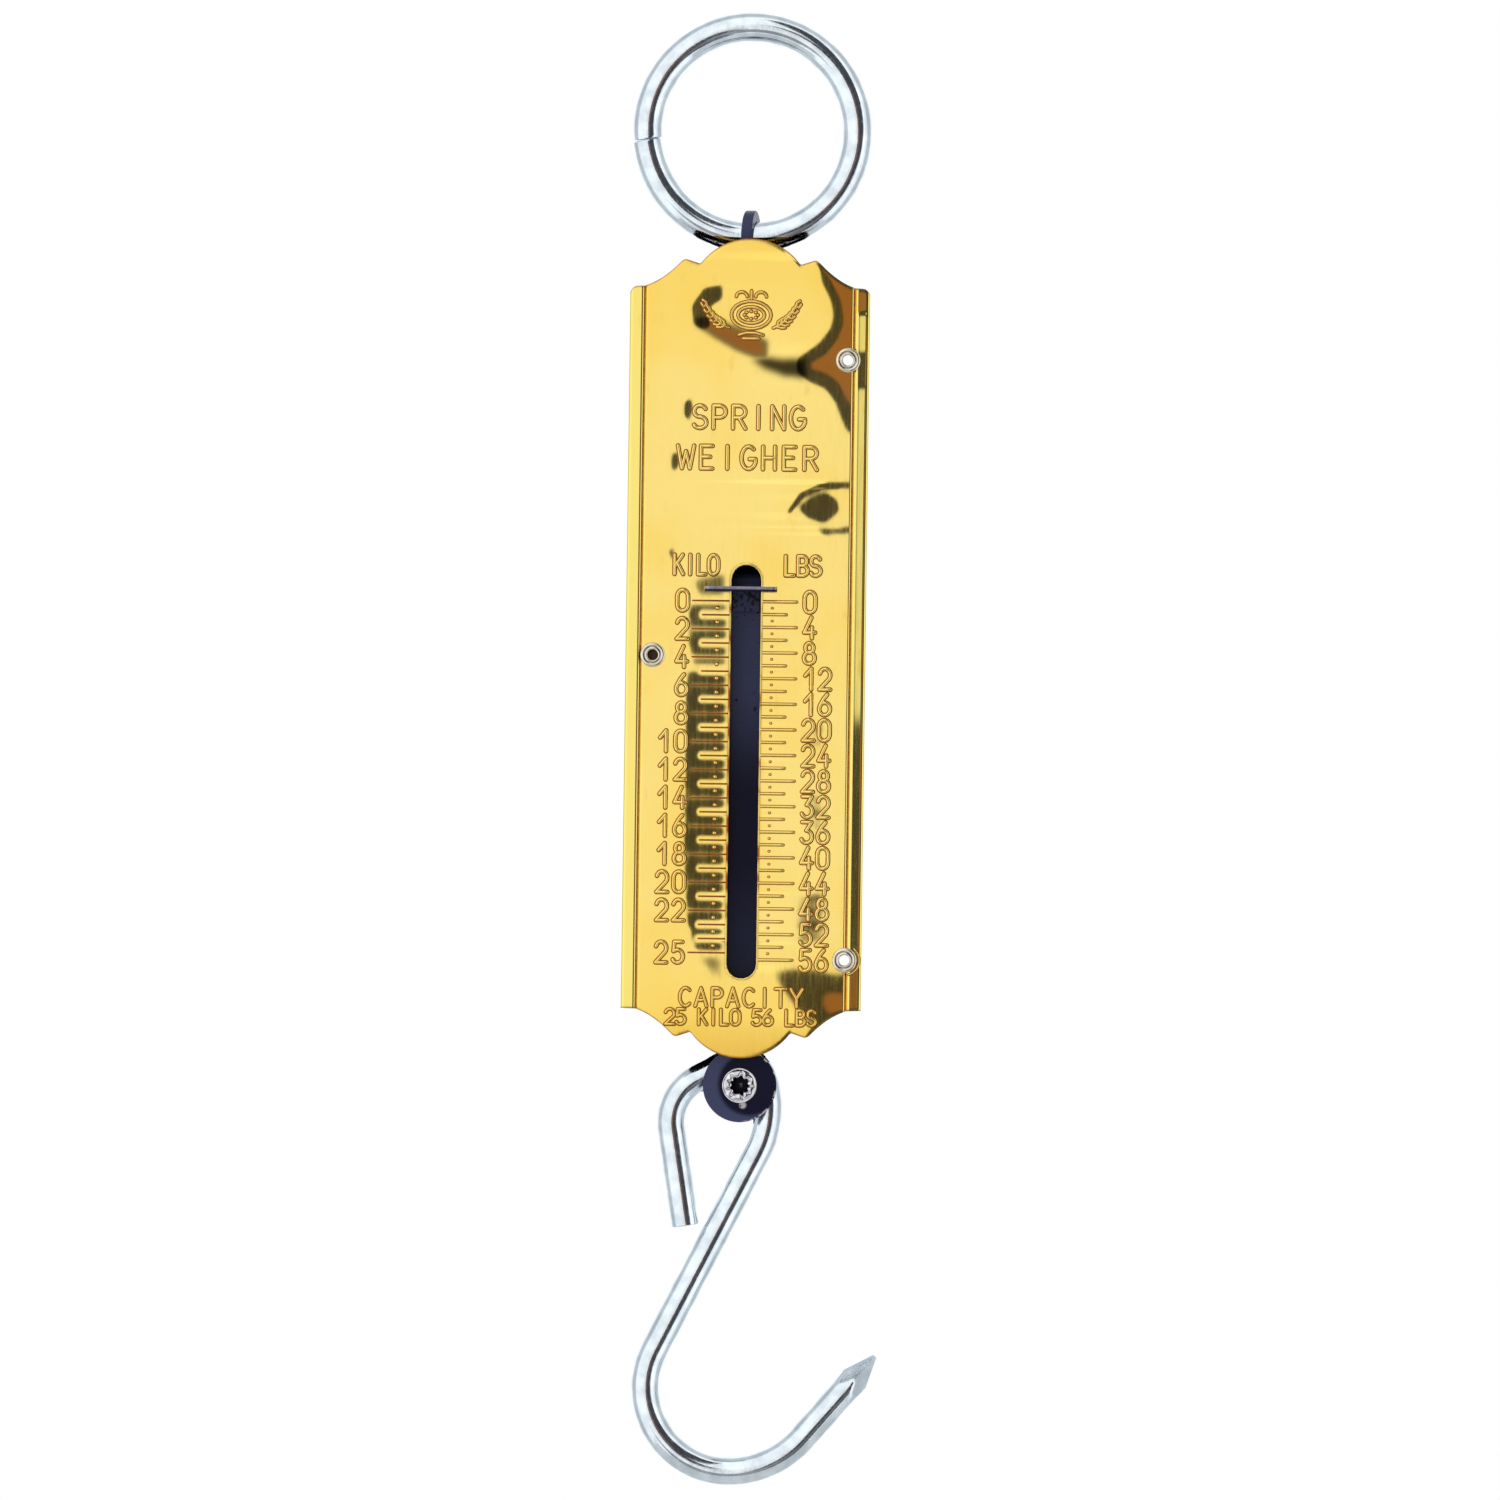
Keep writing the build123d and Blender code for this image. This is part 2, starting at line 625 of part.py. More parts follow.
with BuildPart() as guide_rivets:
    with BuildSketch(Plane.XZ.offset(-BACK_OUTER)):
        with Locations(*GUIDE_RIVETS):
            Circle(GUIDE_RIVET_R)
    extrude(amount=SHEET + GUIDE_T)
    for face_y, out in ((BACK_OUTER, -1), (BACK_INNER - GUIDE_T, 1)):
        with BuildSketch(Plane.XZ.offset(-face_y)):
            with Locations(*GUIDE_RIVETS):
                Circle(GUIDE_HEAD_R)
        extrude(amount=out * GUIDE_HEAD_T)
    rims = guide_rivets.edges().filter_by(GeomType.CIRCLE).group_by(Axis.Y)
    fillet(rims[0] + rims[-1], radius=GUIDE_HEAD_EDGE_R)
finish(guide_rivets.part, "guide_rivets")
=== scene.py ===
"""Looks of the hanging spring scale: a brass face on a tinned case, its ring, strap and hook.

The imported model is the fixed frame: +Z is up, the face looks along -Y and the origin is
where the ring rests on its peg. Sizes here are millimetres; mm() turns them into metres.
"""

import logging
import math
from contextlib import contextmanager
from dataclasses import dataclass
from enum import Enum
from functools import lru_cache
from typing import Iterator, Sequence

import bpy
import numpy as np
from mathutils import Matrix, Vector


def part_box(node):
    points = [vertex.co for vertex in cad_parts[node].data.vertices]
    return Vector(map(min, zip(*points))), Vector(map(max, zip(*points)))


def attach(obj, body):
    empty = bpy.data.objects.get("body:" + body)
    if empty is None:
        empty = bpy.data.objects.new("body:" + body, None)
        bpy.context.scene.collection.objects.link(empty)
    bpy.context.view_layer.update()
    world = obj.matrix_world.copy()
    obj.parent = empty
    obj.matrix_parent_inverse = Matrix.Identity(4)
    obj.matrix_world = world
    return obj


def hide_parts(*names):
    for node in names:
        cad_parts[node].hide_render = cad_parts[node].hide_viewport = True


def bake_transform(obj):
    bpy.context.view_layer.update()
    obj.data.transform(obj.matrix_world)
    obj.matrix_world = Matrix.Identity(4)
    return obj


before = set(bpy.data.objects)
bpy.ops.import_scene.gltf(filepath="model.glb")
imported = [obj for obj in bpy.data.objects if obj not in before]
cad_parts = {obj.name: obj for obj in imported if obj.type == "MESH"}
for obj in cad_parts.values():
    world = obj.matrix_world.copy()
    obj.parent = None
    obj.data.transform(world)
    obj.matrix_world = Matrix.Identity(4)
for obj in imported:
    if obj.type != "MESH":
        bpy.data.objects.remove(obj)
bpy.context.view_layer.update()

log = logging.getLogger("hanging_scale")

Colour = tuple[float, float, float, float]
Point = tuple[float, float]
Bend = tuple[float, float, float]
Object = bpy.types.Object


class Body(Enum):
    """The moving bodies of the scale."""

    RING = "ring"
    CASING = "casing"
    DRAW = "draw"
    HOOK = "hook"


class Slot(Enum):
    """The material slots of the record."""

    BRASS = "polished_brass"
    TINPLATE = "tinned_steel"
    NICKEL = "nickel_eyelet"
    LACQUER = "blue_black_lacquer"
    POINTER = "pointer_steel"
    RIVET = "bright_rivet"
    WIRE = "zinc_wire"
    STEEL = "plain_steel"
    SPRING = "spring_steel"


class Side(Enum):
    """Left and right of the slot, as signs of X."""

    LEFT = -1
    RIGHT = 1


def mm(length: float) -> float:
    """Turn millimetres into metres."""
    return length * 0.001


def rgb(red: float, green: float, blue: float) -> Colour:
    """A linear colour with full alpha."""
    return (red, green, blue, 1.0)


# ------------------------------------------------------------------ hand tools


def pick(piece: Object) -> None:
    """Select one object alone and make it active."""
    bpy.ops.object.select_all(action="DESELECT")
    piece.select_set(True)
    bpy.context.view_layer.objects.active = piece


@contextmanager
def editing(piece: Object, everything: bool = True) -> Iterator[Object]:
    """Work on a piece in edit mode.

    Args:
        piece: the mesh object to edit.
        everything: whether all of it starts selected, or nothing.
    """
    pick(piece)
    bpy.ops.object.mode_set(mode="EDIT")
    bpy.ops.mesh.select_mode(type="VERT")
    bpy.ops.mesh.select_all(action="SELECT" if everything else "DESELECT")
    try:
        yield piece
    finally:
        bpy.ops.object.mode_set(mode="OBJECT")


def apply_modifier(piece: Object, kind: str, **settings: object) -> None:
    """Add a modifier with these settings and apply it at once."""
    pick(piece)
    modifier = piece.modifiers.new(kind.lower(), kind)
    for name, value in settings.items():
        setattr(modifier, name, value)
    bpy.ops.object.modifier_apply(modifier=modifier.name)


def shade(piece: Object, degrees: float = 35.0) -> Object:
    """Shade a piece smooth, except across edges sharper than an angle."""
    pick(piece)
    bpy.ops.object.shade_smooth_by_angle(angle=math.radians(degrees))
    return piece


def join(name: str, pieces: Sequence[Object]) -> Object:
    """Join several mesh objects into one named piece."""
    pick(pieces[0])
    for piece in pieces:
        piece.select_set(True)
    bpy.ops.object.join()
    joined = bpy.context.view_layer.objects.active
    joined.name = name
    return joined


def weld(piece: Object, distance: float = 0.002) -> None:
    """Merge the doubles of a closed mesh and turn its faces outwards."""
    with editing(piece):
        bpy.ops.mesh.remove_doubles(threshold=mm(distance))
        bpy.ops.mesh.dissolve_degenerate(threshold=mm(distance) / 4)
        bpy.ops.mesh.delete_loose()
        bpy.ops.mesh.select_all(action="SELECT")
        bpy.ops.mesh.normals_make_consistent(inside=False)


def corners_of(piece: Object) -> np.ndarray:
    """The vertices of a piece, in millimetres, one row each."""
    flat = np.zeros(len(piece.data.vertices) * 3, np.float32)
    piece.data.vertices.foreach_get("co", flat)
    return flat.reshape(-1, 3).astype(float) * 1000


def move_corners(piece: Object, places: np.ndarray) -> None:
    """Put the vertices of a piece at these places, in millimetres."""
    piece.data.vertices.foreach_set("co", (places * 0.001).astype(np.float32).ravel())
    piece.data.update()


def mark(piece: Object, name: str, values: np.ndarray) -> None:
    """Store one number for each vertex, for a finish to read."""
    attribute = piece.data.attributes.new(name, "FLOAT", "POINT")
    attribute.data.foreach_set("value", values.astype(np.float32))


def settle(piece: Object) -> Object:
    """Apply a piece's place, so that its object sits at the origin."""
    pick(piece)
    bpy.ops.object.transform_apply(location=True, rotation=True, scale=True)
    return piece


def wire(
    name: str, paths: Sequence[np.ndarray], radius: float, sides: int = 12, closed: bool = False
) -> Object:
    """Lay round wire along paths and make it one closed mesh.

    Args:
        name: the piece's name.
        paths: rows of x, y, z in millimetres and the share of the radius there.
        radius: the wire's radius in millimetres.
        sides: how many sides the round section has.
        closed: whether each path ends where it starts.

    Returns:
        The mesh object, with its place in its mesh.
    """
    curve = bpy.data.curves.new(name, "CURVE")
    curve.dimensions = "3D"
    curve.bevel_depth = mm(radius)
    curve.bevel_resolution = sides // 2 - 2
    curve.use_fill_caps = True
    for path in paths:
        spline = curve.splines.new("POLY")
        spline.points.add(len(path) - 1)
        for point, (x, y, z, share) in zip(spline.points, path):
            point.co = (mm(x), mm(y), mm(z), 1.0)
            point.radius = share
        spline.use_cyclic_u = closed
    piece = bpy.data.objects.new(name, curve)
    bpy.context.collection.objects.link(piece)
    pick(piece)
    bpy.ops.object.convert(target="MESH")
    piece = bpy.context.view_layer.objects.active
    weld(piece)
    return shade(piece, 40)


def lathe(name: str, loop: Sequence[Point], place: Point, steps: int = 48) -> Object:
    """Turn a closed section about an axis that runs along Y.

    Args:
        name: the piece's name.
        loop: radius and y of the section's corners, in order, in millimetres.
        place: x and z of the axis, in millimetres.
        steps: how many steps make the full turn.

    Returns:
        The turned mesh object.
    """
    bpy.ops.object.select_all(action="DESELECT")
    bpy.ops.mesh.primitive_circle_add(vertices=len(loop), radius=mm(1))
    piece = bpy.context.view_layer.objects.active
    piece.name = name
    x, z = place
    move_corners(piece, np.array([(x + radius, y, z) for radius, y in loop]))
    with editing(piece):
        bpy.ops.mesh.spin(
            steps=steps, angle=math.tau, center=(mm(x), 0, mm(z)), axis=(0, 1, 0), use_auto_merge=True
        )
    weld(piece)
    return shade(piece, 38)


def refined_copy(node: str, name: str, edge: float) -> Object:
    """Copy a CAD node, merge its triangles and round its edges a little.

    Args:
        node: the node to copy.
        name: the name of the new piece.
        edge: the width of the rounding, in millimetres.

    Returns:
        The new piece.
    """
    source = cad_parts[node]
    piece = bpy.data.objects.new(name, source.data.copy())
    bpy.context.collection.objects.link(piece)
    pick(piece)
    if piece.data.has_custom_normals:
        bpy.ops.mesh.customdata_custom_splitnormals_clear()
    with editing(piece):
        bpy.ops.mesh.remove_doubles(threshold=mm(0.002))
        bpy.ops.mesh.dissolve_limited(angle_limit=math.radians(0.6))
    apply_modifier(
        piece, "BEVEL", width=mm(edge), segments=2, limit_method="ANGLE", angle_limit=math.radians(40)
    )
    shade(piece, 35)
    apply_modifier(piece, "WEIGHTED_NORMAL", keep_sharp=True)
    return piece


def arc(cx: float, cz: float, rx: float, rz: float, start: float, stop: float) -> list[Point]:
    """Points along an elliptical arc, from one angle in degrees to another."""
    steps = max(4, round(abs(stop - start) / 20))
    angles = np.radians(np.linspace(start, stop, steps + 1))
    return [(cx + rx * math.cos(a), cz + rz * math.sin(a)) for a in angles]


# ------------------------------------------------------------------ shader tools


class Value:
    """A node's output, on which Python's operators add Math nodes."""

    def __init__(self, tree: "Tree", socket: bpy.types.NodeSocket | None) -> None:
        """Wrap a socket of a tree."""
        self.tree = tree
        self.socket = socket

    def __add__(self, other: "Value | float") -> "Value":
        """Add."""
        return self.tree.maths("ADD", self, other)

    __radd__ = __add__

    def __mul__(self, other: "Value | float") -> "Value":
        """Multiply."""
        return self.tree.maths("MULTIPLY", self, other)

    __rmul__ = __mul__

    def __sub__(self, other: "Value | float") -> "Value":
        """Subtract."""
        return self.tree.maths("SUBTRACT", self, other)

    def __rsub__(self, other: float) -> "Value":
        """Subtract from a number."""
        return self.tree.maths("SUBTRACT", other, self)

    def __truediv__(self, other: "Value | float") -> "Value":
        """Divide."""
        return self.tree.maths("DIVIDE", self, other)

    def step(self, low: float, high: float) -> "Value":
        """Rise smoothly from 0 at low to 1 at high, where low may be the larger."""
        settings = {"interpolation_type": "SMOOTHSTEP"}
        values = {"Value": self, "From Min": low, "From Max": high}
        return self.tree.add("ShaderNodeMapRange", settings, values)

    def window(self, low: float, high: float, soft: float) -> "Value":
        """Be 1 between low and high and 0 outside, with soft edges."""
        return self.step(low - soft, low + soft) * self.step(high + soft, high - soft)


class Tree:
    """A node tree that is written as expressions."""

    def __init__(self, tree: bpy.types.NodeTree) -> None:
        """Start from an empty tree."""
        tree.nodes.clear()
        self.nodes = tree.nodes
        self.links = tree.links

    def add(
        self,
        kind: str,
        settings: dict[str, object] | None = None,
        values: dict[str | int, object] | None = None,
        output: str | int = 0,
    ) -> Value:
        """Add a node.

        Args:
            kind: the node's type.
            settings: its own settings, set first.
            values: constants or links for its sockets, by name or number.
            output: the socket that is handed back.

        Returns:
            The chosen output.
        """
        node = self.nodes.new(kind)
        for name, setting in (settings or {}).items():
            setattr(node, name, setting)
        for key, value in (values or {}).items():
            if isinstance(value, Value):
                self.links.new(value.socket, node.inputs[key])
            else:
                node.inputs[key].default_value = value
        return Value(self, node.outputs[output] if node.outputs else None)

    def maths(self, operation: str, *terms: "Value | float") -> Value:
        """Add a Math node."""
        return self.add("ShaderNodeMath", {"operation": operation}, dict(enumerate(terms)))

    def mix(self, share: "Value | float", first: object, second: object) -> Value:
        """Mix two colours, with share 0 giving the first."""
        values = {0: share, 6: first, 7: second}
        return self.add("ShaderNodeMix", {"data_type": "RGBA"}, values, 2)

    def place(self, stretch: tuple[float, float, float] = (1, 1, 1)) -> Value:
        """Object coordinates, stretched."""
        spot = self.add("ShaderNodeTexCoord", output="Object")
        return self.add("ShaderNodeMapping", {}, {"Vector": spot, "Scale": stretch})

    def coordinate(self, axis: str) -> Value:
        """One of the object coordinates."""
        spot = self.add("ShaderNodeTexCoord", output="Object")
        return self.add("ShaderNodeSeparateXYZ", {}, {"Vector": spot}, axis)

    def marked(self, name: str) -> Value:
        """A number that was marked on the mesh."""
        return self.add("ShaderNodeAttribute", {"attribute_name": name}, output="Fac")

    def noise(
        self, size: float, detail: float = 3.0, stretch: tuple[float, float, float] = (1, 1, 1)
    ) -> Value:
        """Noise whose blotches are about this many millimetres across."""
        values = {"Vector": self.place(stretch), "Scale": 1 / mm(size), "Detail": detail}
        return self.add("ShaderNodeTexNoise", {}, values)

    def bump(self, height: Value, depth: float) -> Value:
        """Turn a height of 0 to 1 into a normal, where 1 stands this many millimetres high."""
        values = {"Height": height, "Distance": mm(depth), "Strength": 1.0}
        return self.add("ShaderNodeBump", {}, values, "Normal")


@dataclass(frozen=True)
class Metal:
    """A bare or plated metal with mottling, fine grain and a slightly uneven surface, and painted shade in
    its marked hollows where asked.
    """

    name: str
    light: Colour
    dark: Colour
    tarnish: Colour = rgb(0.30, 0.13, 0.03)
    tarnished: bool = False
    mottle: float = 9.0
    smoothest: float = 0.10
    roughest: float = 0.22
    grain: float = 0.5
    grain_stretch: tuple[float, float, float] = (1.0, 1.0, 0.12)
    grain_depth: float = 0.0006
    swell: float = 7.0
    swell_depth: float = 0.004

    def paint(self, tree: Tree) -> dict[str, object]:
        """The sockets of the shader that carry this finish."""
        blotch = tree.noise(self.mottle)
        grain = tree.noise(self.grain, 4, self.grain_stretch)
        base = tree.mix(blotch.step(0.3, 0.72), self.light, self.dark)
        rough = self.smoothest + grain.step(0.35, 0.75) * (self.roughest - self.smoothest)
        # Painted shade: the marked hollows darken towards tarnish, such as the bores of eyelets and rivets.
        if self.tarnished:
            crevice = tree.marked("crevice")
            wear_and_shade = crevice * (0.55 + tree.noise(1.1) * 0.9)
            base = tree.mix(wear_and_shade.step(0.25, 0.95), base, self.tarnish)
            rough = rough + crevice * 0.12
        height = grain * (self.grain_depth / self.swell_depth) + tree.noise(self.swell, 1.0)
        return {
            "Base Color": base,
            "Roughness": rough,
            "Metallic": 1.0,
            "Normal": tree.bump(height, self.swell_depth),
        }


@dataclass(frozen=True)
class Tinplate(Metal):
    """Tinned sheet that is bright outside and rougher inside the case, where painted shade makes it near
    black.
    """

    inside: Colour = rgb(0.012, 0.011, 0.020)
    inner_half: float = 13.6
    inner_back: float = 6.0

    def paint(self, tree: Tree) -> dict[str, object]:
        """The sockets of the shader that carry this finish."""
        sockets = super().paint(tree)
        across = tree.maths("ABSOLUTE", tree.coordinate("X"))
        depth = tree.coordinate("Y")
        # Painted shade: near black inside the case, where the slot shows into it.
        shaded_inside = across.step(mm(self.inner_half + 0.3), mm(self.inner_half + 0.15))
        shaded_inside = shaded_inside * depth.step(mm(self.inner_back + 0.3), mm(self.inner_back + 0.15))
        sockets["Base Color"] = tree.mix(shaded_inside, sockets["Base Color"], self.inside)
        sockets["Roughness"] = sockets["Roughness"] + shaded_inside * 0.3
        return sockets


@dataclass(frozen=True)
class Brass:
    """Polished brass sheet, with painted shading deeper in tone towards both ends and painted brown
    reflection and shade along every stamped edge.
    """

    name: str = "polished_brass_sheet"
    middle: Colour = rgb(0.975, 0.745, 0.220)
    rich: Colour = rgb(0.965, 0.660, 0.120)
    deep: Colour = rgb(0.780, 0.460, 0.065)
    brown: Colour = rgb(0.380, 0.105, 0.022)
    lemon: Colour = rgb(0.960, 0.790, 0.210)
    olive: Colour = rgb(0.055, 0.042, 0.012)
    amber: Colour = rgb(0.300, 0.105, 0.018)
    top: float = -33.0
    foot: float = -169.2
    strip_from: float = 17.4

    def paint(self, tree: Tree) -> dict[str, object]:
        """The sockets of the shader that carry this finish."""
        high = tree.coordinate("Z")
        blotch = tree.noise(16.0, 2)
        # Painted shading: the tone deepens towards the top and the foot of the sheet, most along the very
        # foot.
        ends = high.step(mm(self.top - 26), mm(self.top))
        ends = ends + high.step(mm(self.foot + 24), mm(self.foot + 6))
        base = tree.mix(ends * 0.75 + blotch.step(0.40, 0.72) * 0.55, self.middle, self.rich)
        base = tree.mix(high.step(mm(self.foot + 9), mm(self.foot - 2)) * 0.8, base, self.deep)
        across = tree.maths("ABSOLUTE", tree.coordinate("X"))
        strip = across.step(mm(self.strip_from), mm(self.strip_from + 0.4))
        base = tree.mix(strip * 0.8, base, self.lemon)
        handled = tree.noise(2.2, 6, (1, 1, 0.35)).step(0.60, 0.78)
        base = tree.mix(handled * 0.30, base, self.deep)
        # Painted reflection: the olive and amber patches marked on the sheet.
        for name, tone in (("olive", self.olive), ("amber", self.amber)):
            base = tree.mix(tree.marked(name), base, tone)
        # Painted reflection and shade: brown along the marked crevices, every stamped edge, groove, hem and
        # the slot.
        crevice = tree.marked("crevice")
        wear_and_shade = crevice * (0.70 + tree.noise(0.9) * 0.6)
        base = tree.mix(wear_and_shade.step(0.15, 0.9), base, self.brown)
        grain = tree.noise(0.35, 4, (1.0, 1.0, 0.08))
        height = grain * 0.02 + tree.noise(9.0, 1.0)
        return {
            "Base Color": base,
            "Roughness": 0.06 + grain.step(0.35, 0.75) * 0.04 + crevice * 0.25,
            "Metallic": 1.0,
            "Normal": tree.bump(height, 0.005),
        }


@dataclass(frozen=True)
class Lacquer:
    """Glossy blue-black stoving on the strap, chipped in places, with a painted reflection lighter at the
    top and on the head's left part.
    """

    name: str
    light: Colour
    dark: Colour
    chip: Colour = rgb(0.0015, 0.0015, 0.003)
    bare: Colour = rgb(0.55, 0.52, 0.53)
    bright_from: float = -106.0
    bright_to: float = -126.0
    head_z: float = -173.8
    head_top: float = -167.2
    scuffs: tuple[Point, Point] = ((-97.5, -94.5), (-111.5, -108.5))
    gloss: float = 0.2

    def paint(self, tree: Tree) -> dict[str, object]:
        """The sockets of the shader that carry this finish."""
        across, high = tree.coordinate("X"), tree.coordinate("Z")
        cloud = tree.noise(6.0)
        crumbs = tree.noise(0.9, 5)
        # Painted reflection: the strap is lighter towards its top and in a band above the head.
        fade = high.step(mm(self.bright_to), mm(self.bright_from))
        fade = fade + high.window(mm(-168), mm(-142), mm(8)) * 0.28
        on_head = high.step(mm(self.head_top), mm(self.head_top - 0.8))
        # Painted reflection: the head is lighter outside a circle set right of its middle.
        shadow = self._far(tree, across, high, 1.6, self.head_z + 0.2).step(mm(4.7), mm(5.7))
        tone = fade * (1 - on_head) * 0.75 + shadow * on_head
        base = tree.mix(tone + cloud * 0.10, self.dark, self.light)
        upper, lower = (high.window(mm(low), mm(top), mm(1)) for low, top in self.scuffs)
        scuffed = upper + lower
        chips = tree.noise(1.3, 5).step(0.60, 0.63) * scuffed
        base = tree.mix(chips, base, self.chip)
        rim = self._far(tree, across, high, 0.0, self.head_z).step(mm(5.75), mm(6.0))
        dot = self._far(tree, across, high, 0.55, self.head_z - 3.25).step(mm(0.75), mm(0.35))
        depth = tree.maths("ABSOLUTE", tree.coordinate("Y"))
        rim = rim * across.step(mm(0), mm(2)) * depth.step(mm(3.6), mm(3.8))
        wear_and_shade = (rim * crumbs.step(0.50, 0.54) + dot * crumbs.step(0.36, 0.40)) * on_head
        base = tree.mix(wear_and_shade, base, self.bare)
        return {
            "Base Color": base,
            "Roughness": self.gloss + cloud * 0.14 + chips * 0.3,
            "Metallic": wear_and_shade * 0.8,
            "IOR": 1.22,
            "Normal": tree.bump(crumbs * 0.3 + tree.noise(9.0, 1) * 3 - chips, 0.004),
        }

    @staticmethod
    def _far(tree: Tree, across: Value, high: Value, x: float, z: float) -> Value:
        """The distance from a point of the face."""
        dx, dz = across - mm(x), high - mm(z)
        return tree.maths("SQRT", dx * dx + dz * dz)


@dataclass(frozen=True)
class BluedPointer:
    """A pointer whose foot is lacquered with the strap and whose blade is rubbed down to dark steel, with
    painted shade on its lower part.
    """

    name: str = "blued_pointer"
    steel: Colour = rgb(0.50, 0.49, 0.56)
    blue: Colour = rgb(0.042, 0.046, 0.100)
    pit: Colour = rgb(0.004, 0.004, 0.010)
    smoky: Colour = rgb(0.10, 0.09, 0.14)
    under: Colour = rgb(0.020, 0.014, 0.035)
    blade_back: float = -6.7
    lit_from: float = -91.2

    def paint(self, tree: Tree) -> dict[str, object]:
        """The sockets of the shader that carry this finish."""
        depth, high = tree.coordinate("Y"), tree.coordinate("Z")
        foot = depth.step(mm(self.blade_back), mm(self.blade_back + 0.5))
        pits = tree.noise(0.9, 4).step(0.50, 0.56)
        wear_and_shade = tree.mix(tree.noise(1.4), self.steel, self.smoky)
        # Painted shade: the blade is darker below lit_from.
        wear_and_shade = tree.mix(high.step(mm(self.lit_from), mm(self.lit_from - 0.3)), wear_and_shade, self.under)
        lacquer = tree.mix(pits, self.blue, self.pit)
        return {
            "Base Color": tree.mix(foot, wear_and_shade, lacquer),
            "Roughness": 0.22 + tree.noise(0.8) * 0.15,
            "Metallic": 1 - foot,
            "IOR": 1.22,
            "Normal": tree.bump(tree.noise(0.8, 2), 0.006),
        }


@dataclass(frozen=True)
class Paper:
    """The plain pale floor."""

    name: str = "pale_floor"
    colour: Colour = rgb(0.82, 0.82, 0.82)
    grey: Colour = rgb(0.7, 0.7, 0.7)

    def paint(self, tree: Tree) -> dict[str, object]:
        """The sockets of the shader that carry this finish."""
        cloud = tree.noise(400.0)
        return {"Base Color": tree.mix(cloud * 0.08, self.colour, self.grey), "Roughness": 0.9}


Finish = Metal | Tinplate | Brass | Lacquer | BluedPointer | Paper

FINISHES: dict[Slot, Finish] = {
    Slot.BRASS: Brass(),
    Slot.TINPLATE: Tinplate(
        "tinned_sheet", rgb(0.66, 0.67, 0.68), rgb(0.50, 0.51, 0.53), smoothest=0.2, roughest=0.38
    ),
    Slot.NICKEL: Metal(
        "nickelled_eyelet",
        rgb(0.86, 0.80, 0.66),
        rgb(0.66, 0.57, 0.42),
        # painted shade in the eyelet's bore and folds
        tarnish=rgb(0.05, 0.035, 0.022),
        tarnished=True,
        mottle=1.5,
        smoothest=0.12,
        roughest=0.3,
        swell=1.2,
    ),
    Slot.LACQUER: Lacquer("blue_black_stoving", rgb(0.060, 0.066, 0.135), rgb(0.002, 0.001, 0.018)),
    Slot.POINTER: BluedPointer(),
    Slot.RIVET: Metal(
        "bright_rivet_metal",
        rgb(0.86, 0.84, 0.84),
        rgb(0.52, 0.50, 0.54),
        # painted shade down the rivet's bore
        tarnish=rgb(0.008, 0.008, 0.012),
        tarnished=True,
        mottle=0.9,
        smoothest=0.12,
        swell=0.8,
        swell_depth=0.01,
    ),
    Slot.WIRE: Metal(
        "zinc_plated_wire",
        rgb(0.86, 0.91, 0.94),
        rgb(0.66, 0.71, 0.75),
        mottle=2.6,
        smoothest=0.08,
        roughest=0.20,
        grain=0.4,
        grain_stretch=(1, 1, 0.5),
        grain_depth=0.0015,
        swell=3.5,
        swell_depth=0.012,
    ),
    Slot.STEEL: Metal(
        "turned_steel", rgb(0.55, 0.55, 0.56), rgb(0.38, 0.38, 0.40), grain_stretch=(0.1, 1, 1)
    ),
    Slot.SPRING: Metal("oiled_spring_steel", rgb(0.40, 0.41, 0.43), rgb(0.24, 0.25, 0.28), roughest=0.32),
}


@lru_cache(maxsize=None)
def material_of(finish: Finish) -> bpy.types.Material:
    """Make a finish's material once."""
    material = bpy.data.materials.new(finish.name)
    material.use_nodes = True
    tree = Tree(material.node_tree)
    surface = tree.add("ShaderNodeBsdfPrincipled", {}, finish.paint(tree))
    tree.add("ShaderNodeOutputMaterial", {}, {"Surface": surface})
    return material


def dress(piece: Object, slot: Slot) -> None:
    """Give a piece the finish of a slot, in place of whatever it has."""
    piece.data.materials.clear()
    piece.data.materials.append(material_of(FINISHES[slot]))


def fit(piece: Object, body: Body, slot: Slot, *nodes: str) -> Object:
    """Dress a new piece, tie it to its body and hide the CAD nodes that it stands for."""
    dress(piece, slot)
    if nodes:
        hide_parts(*nodes)
    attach(piece, body.value)
    log.info("%s: %d faces on %s", piece.name, len(piece.data.polygons), body.value)
    return piece


# ------------------------------------------------------------------ the stamped sheet


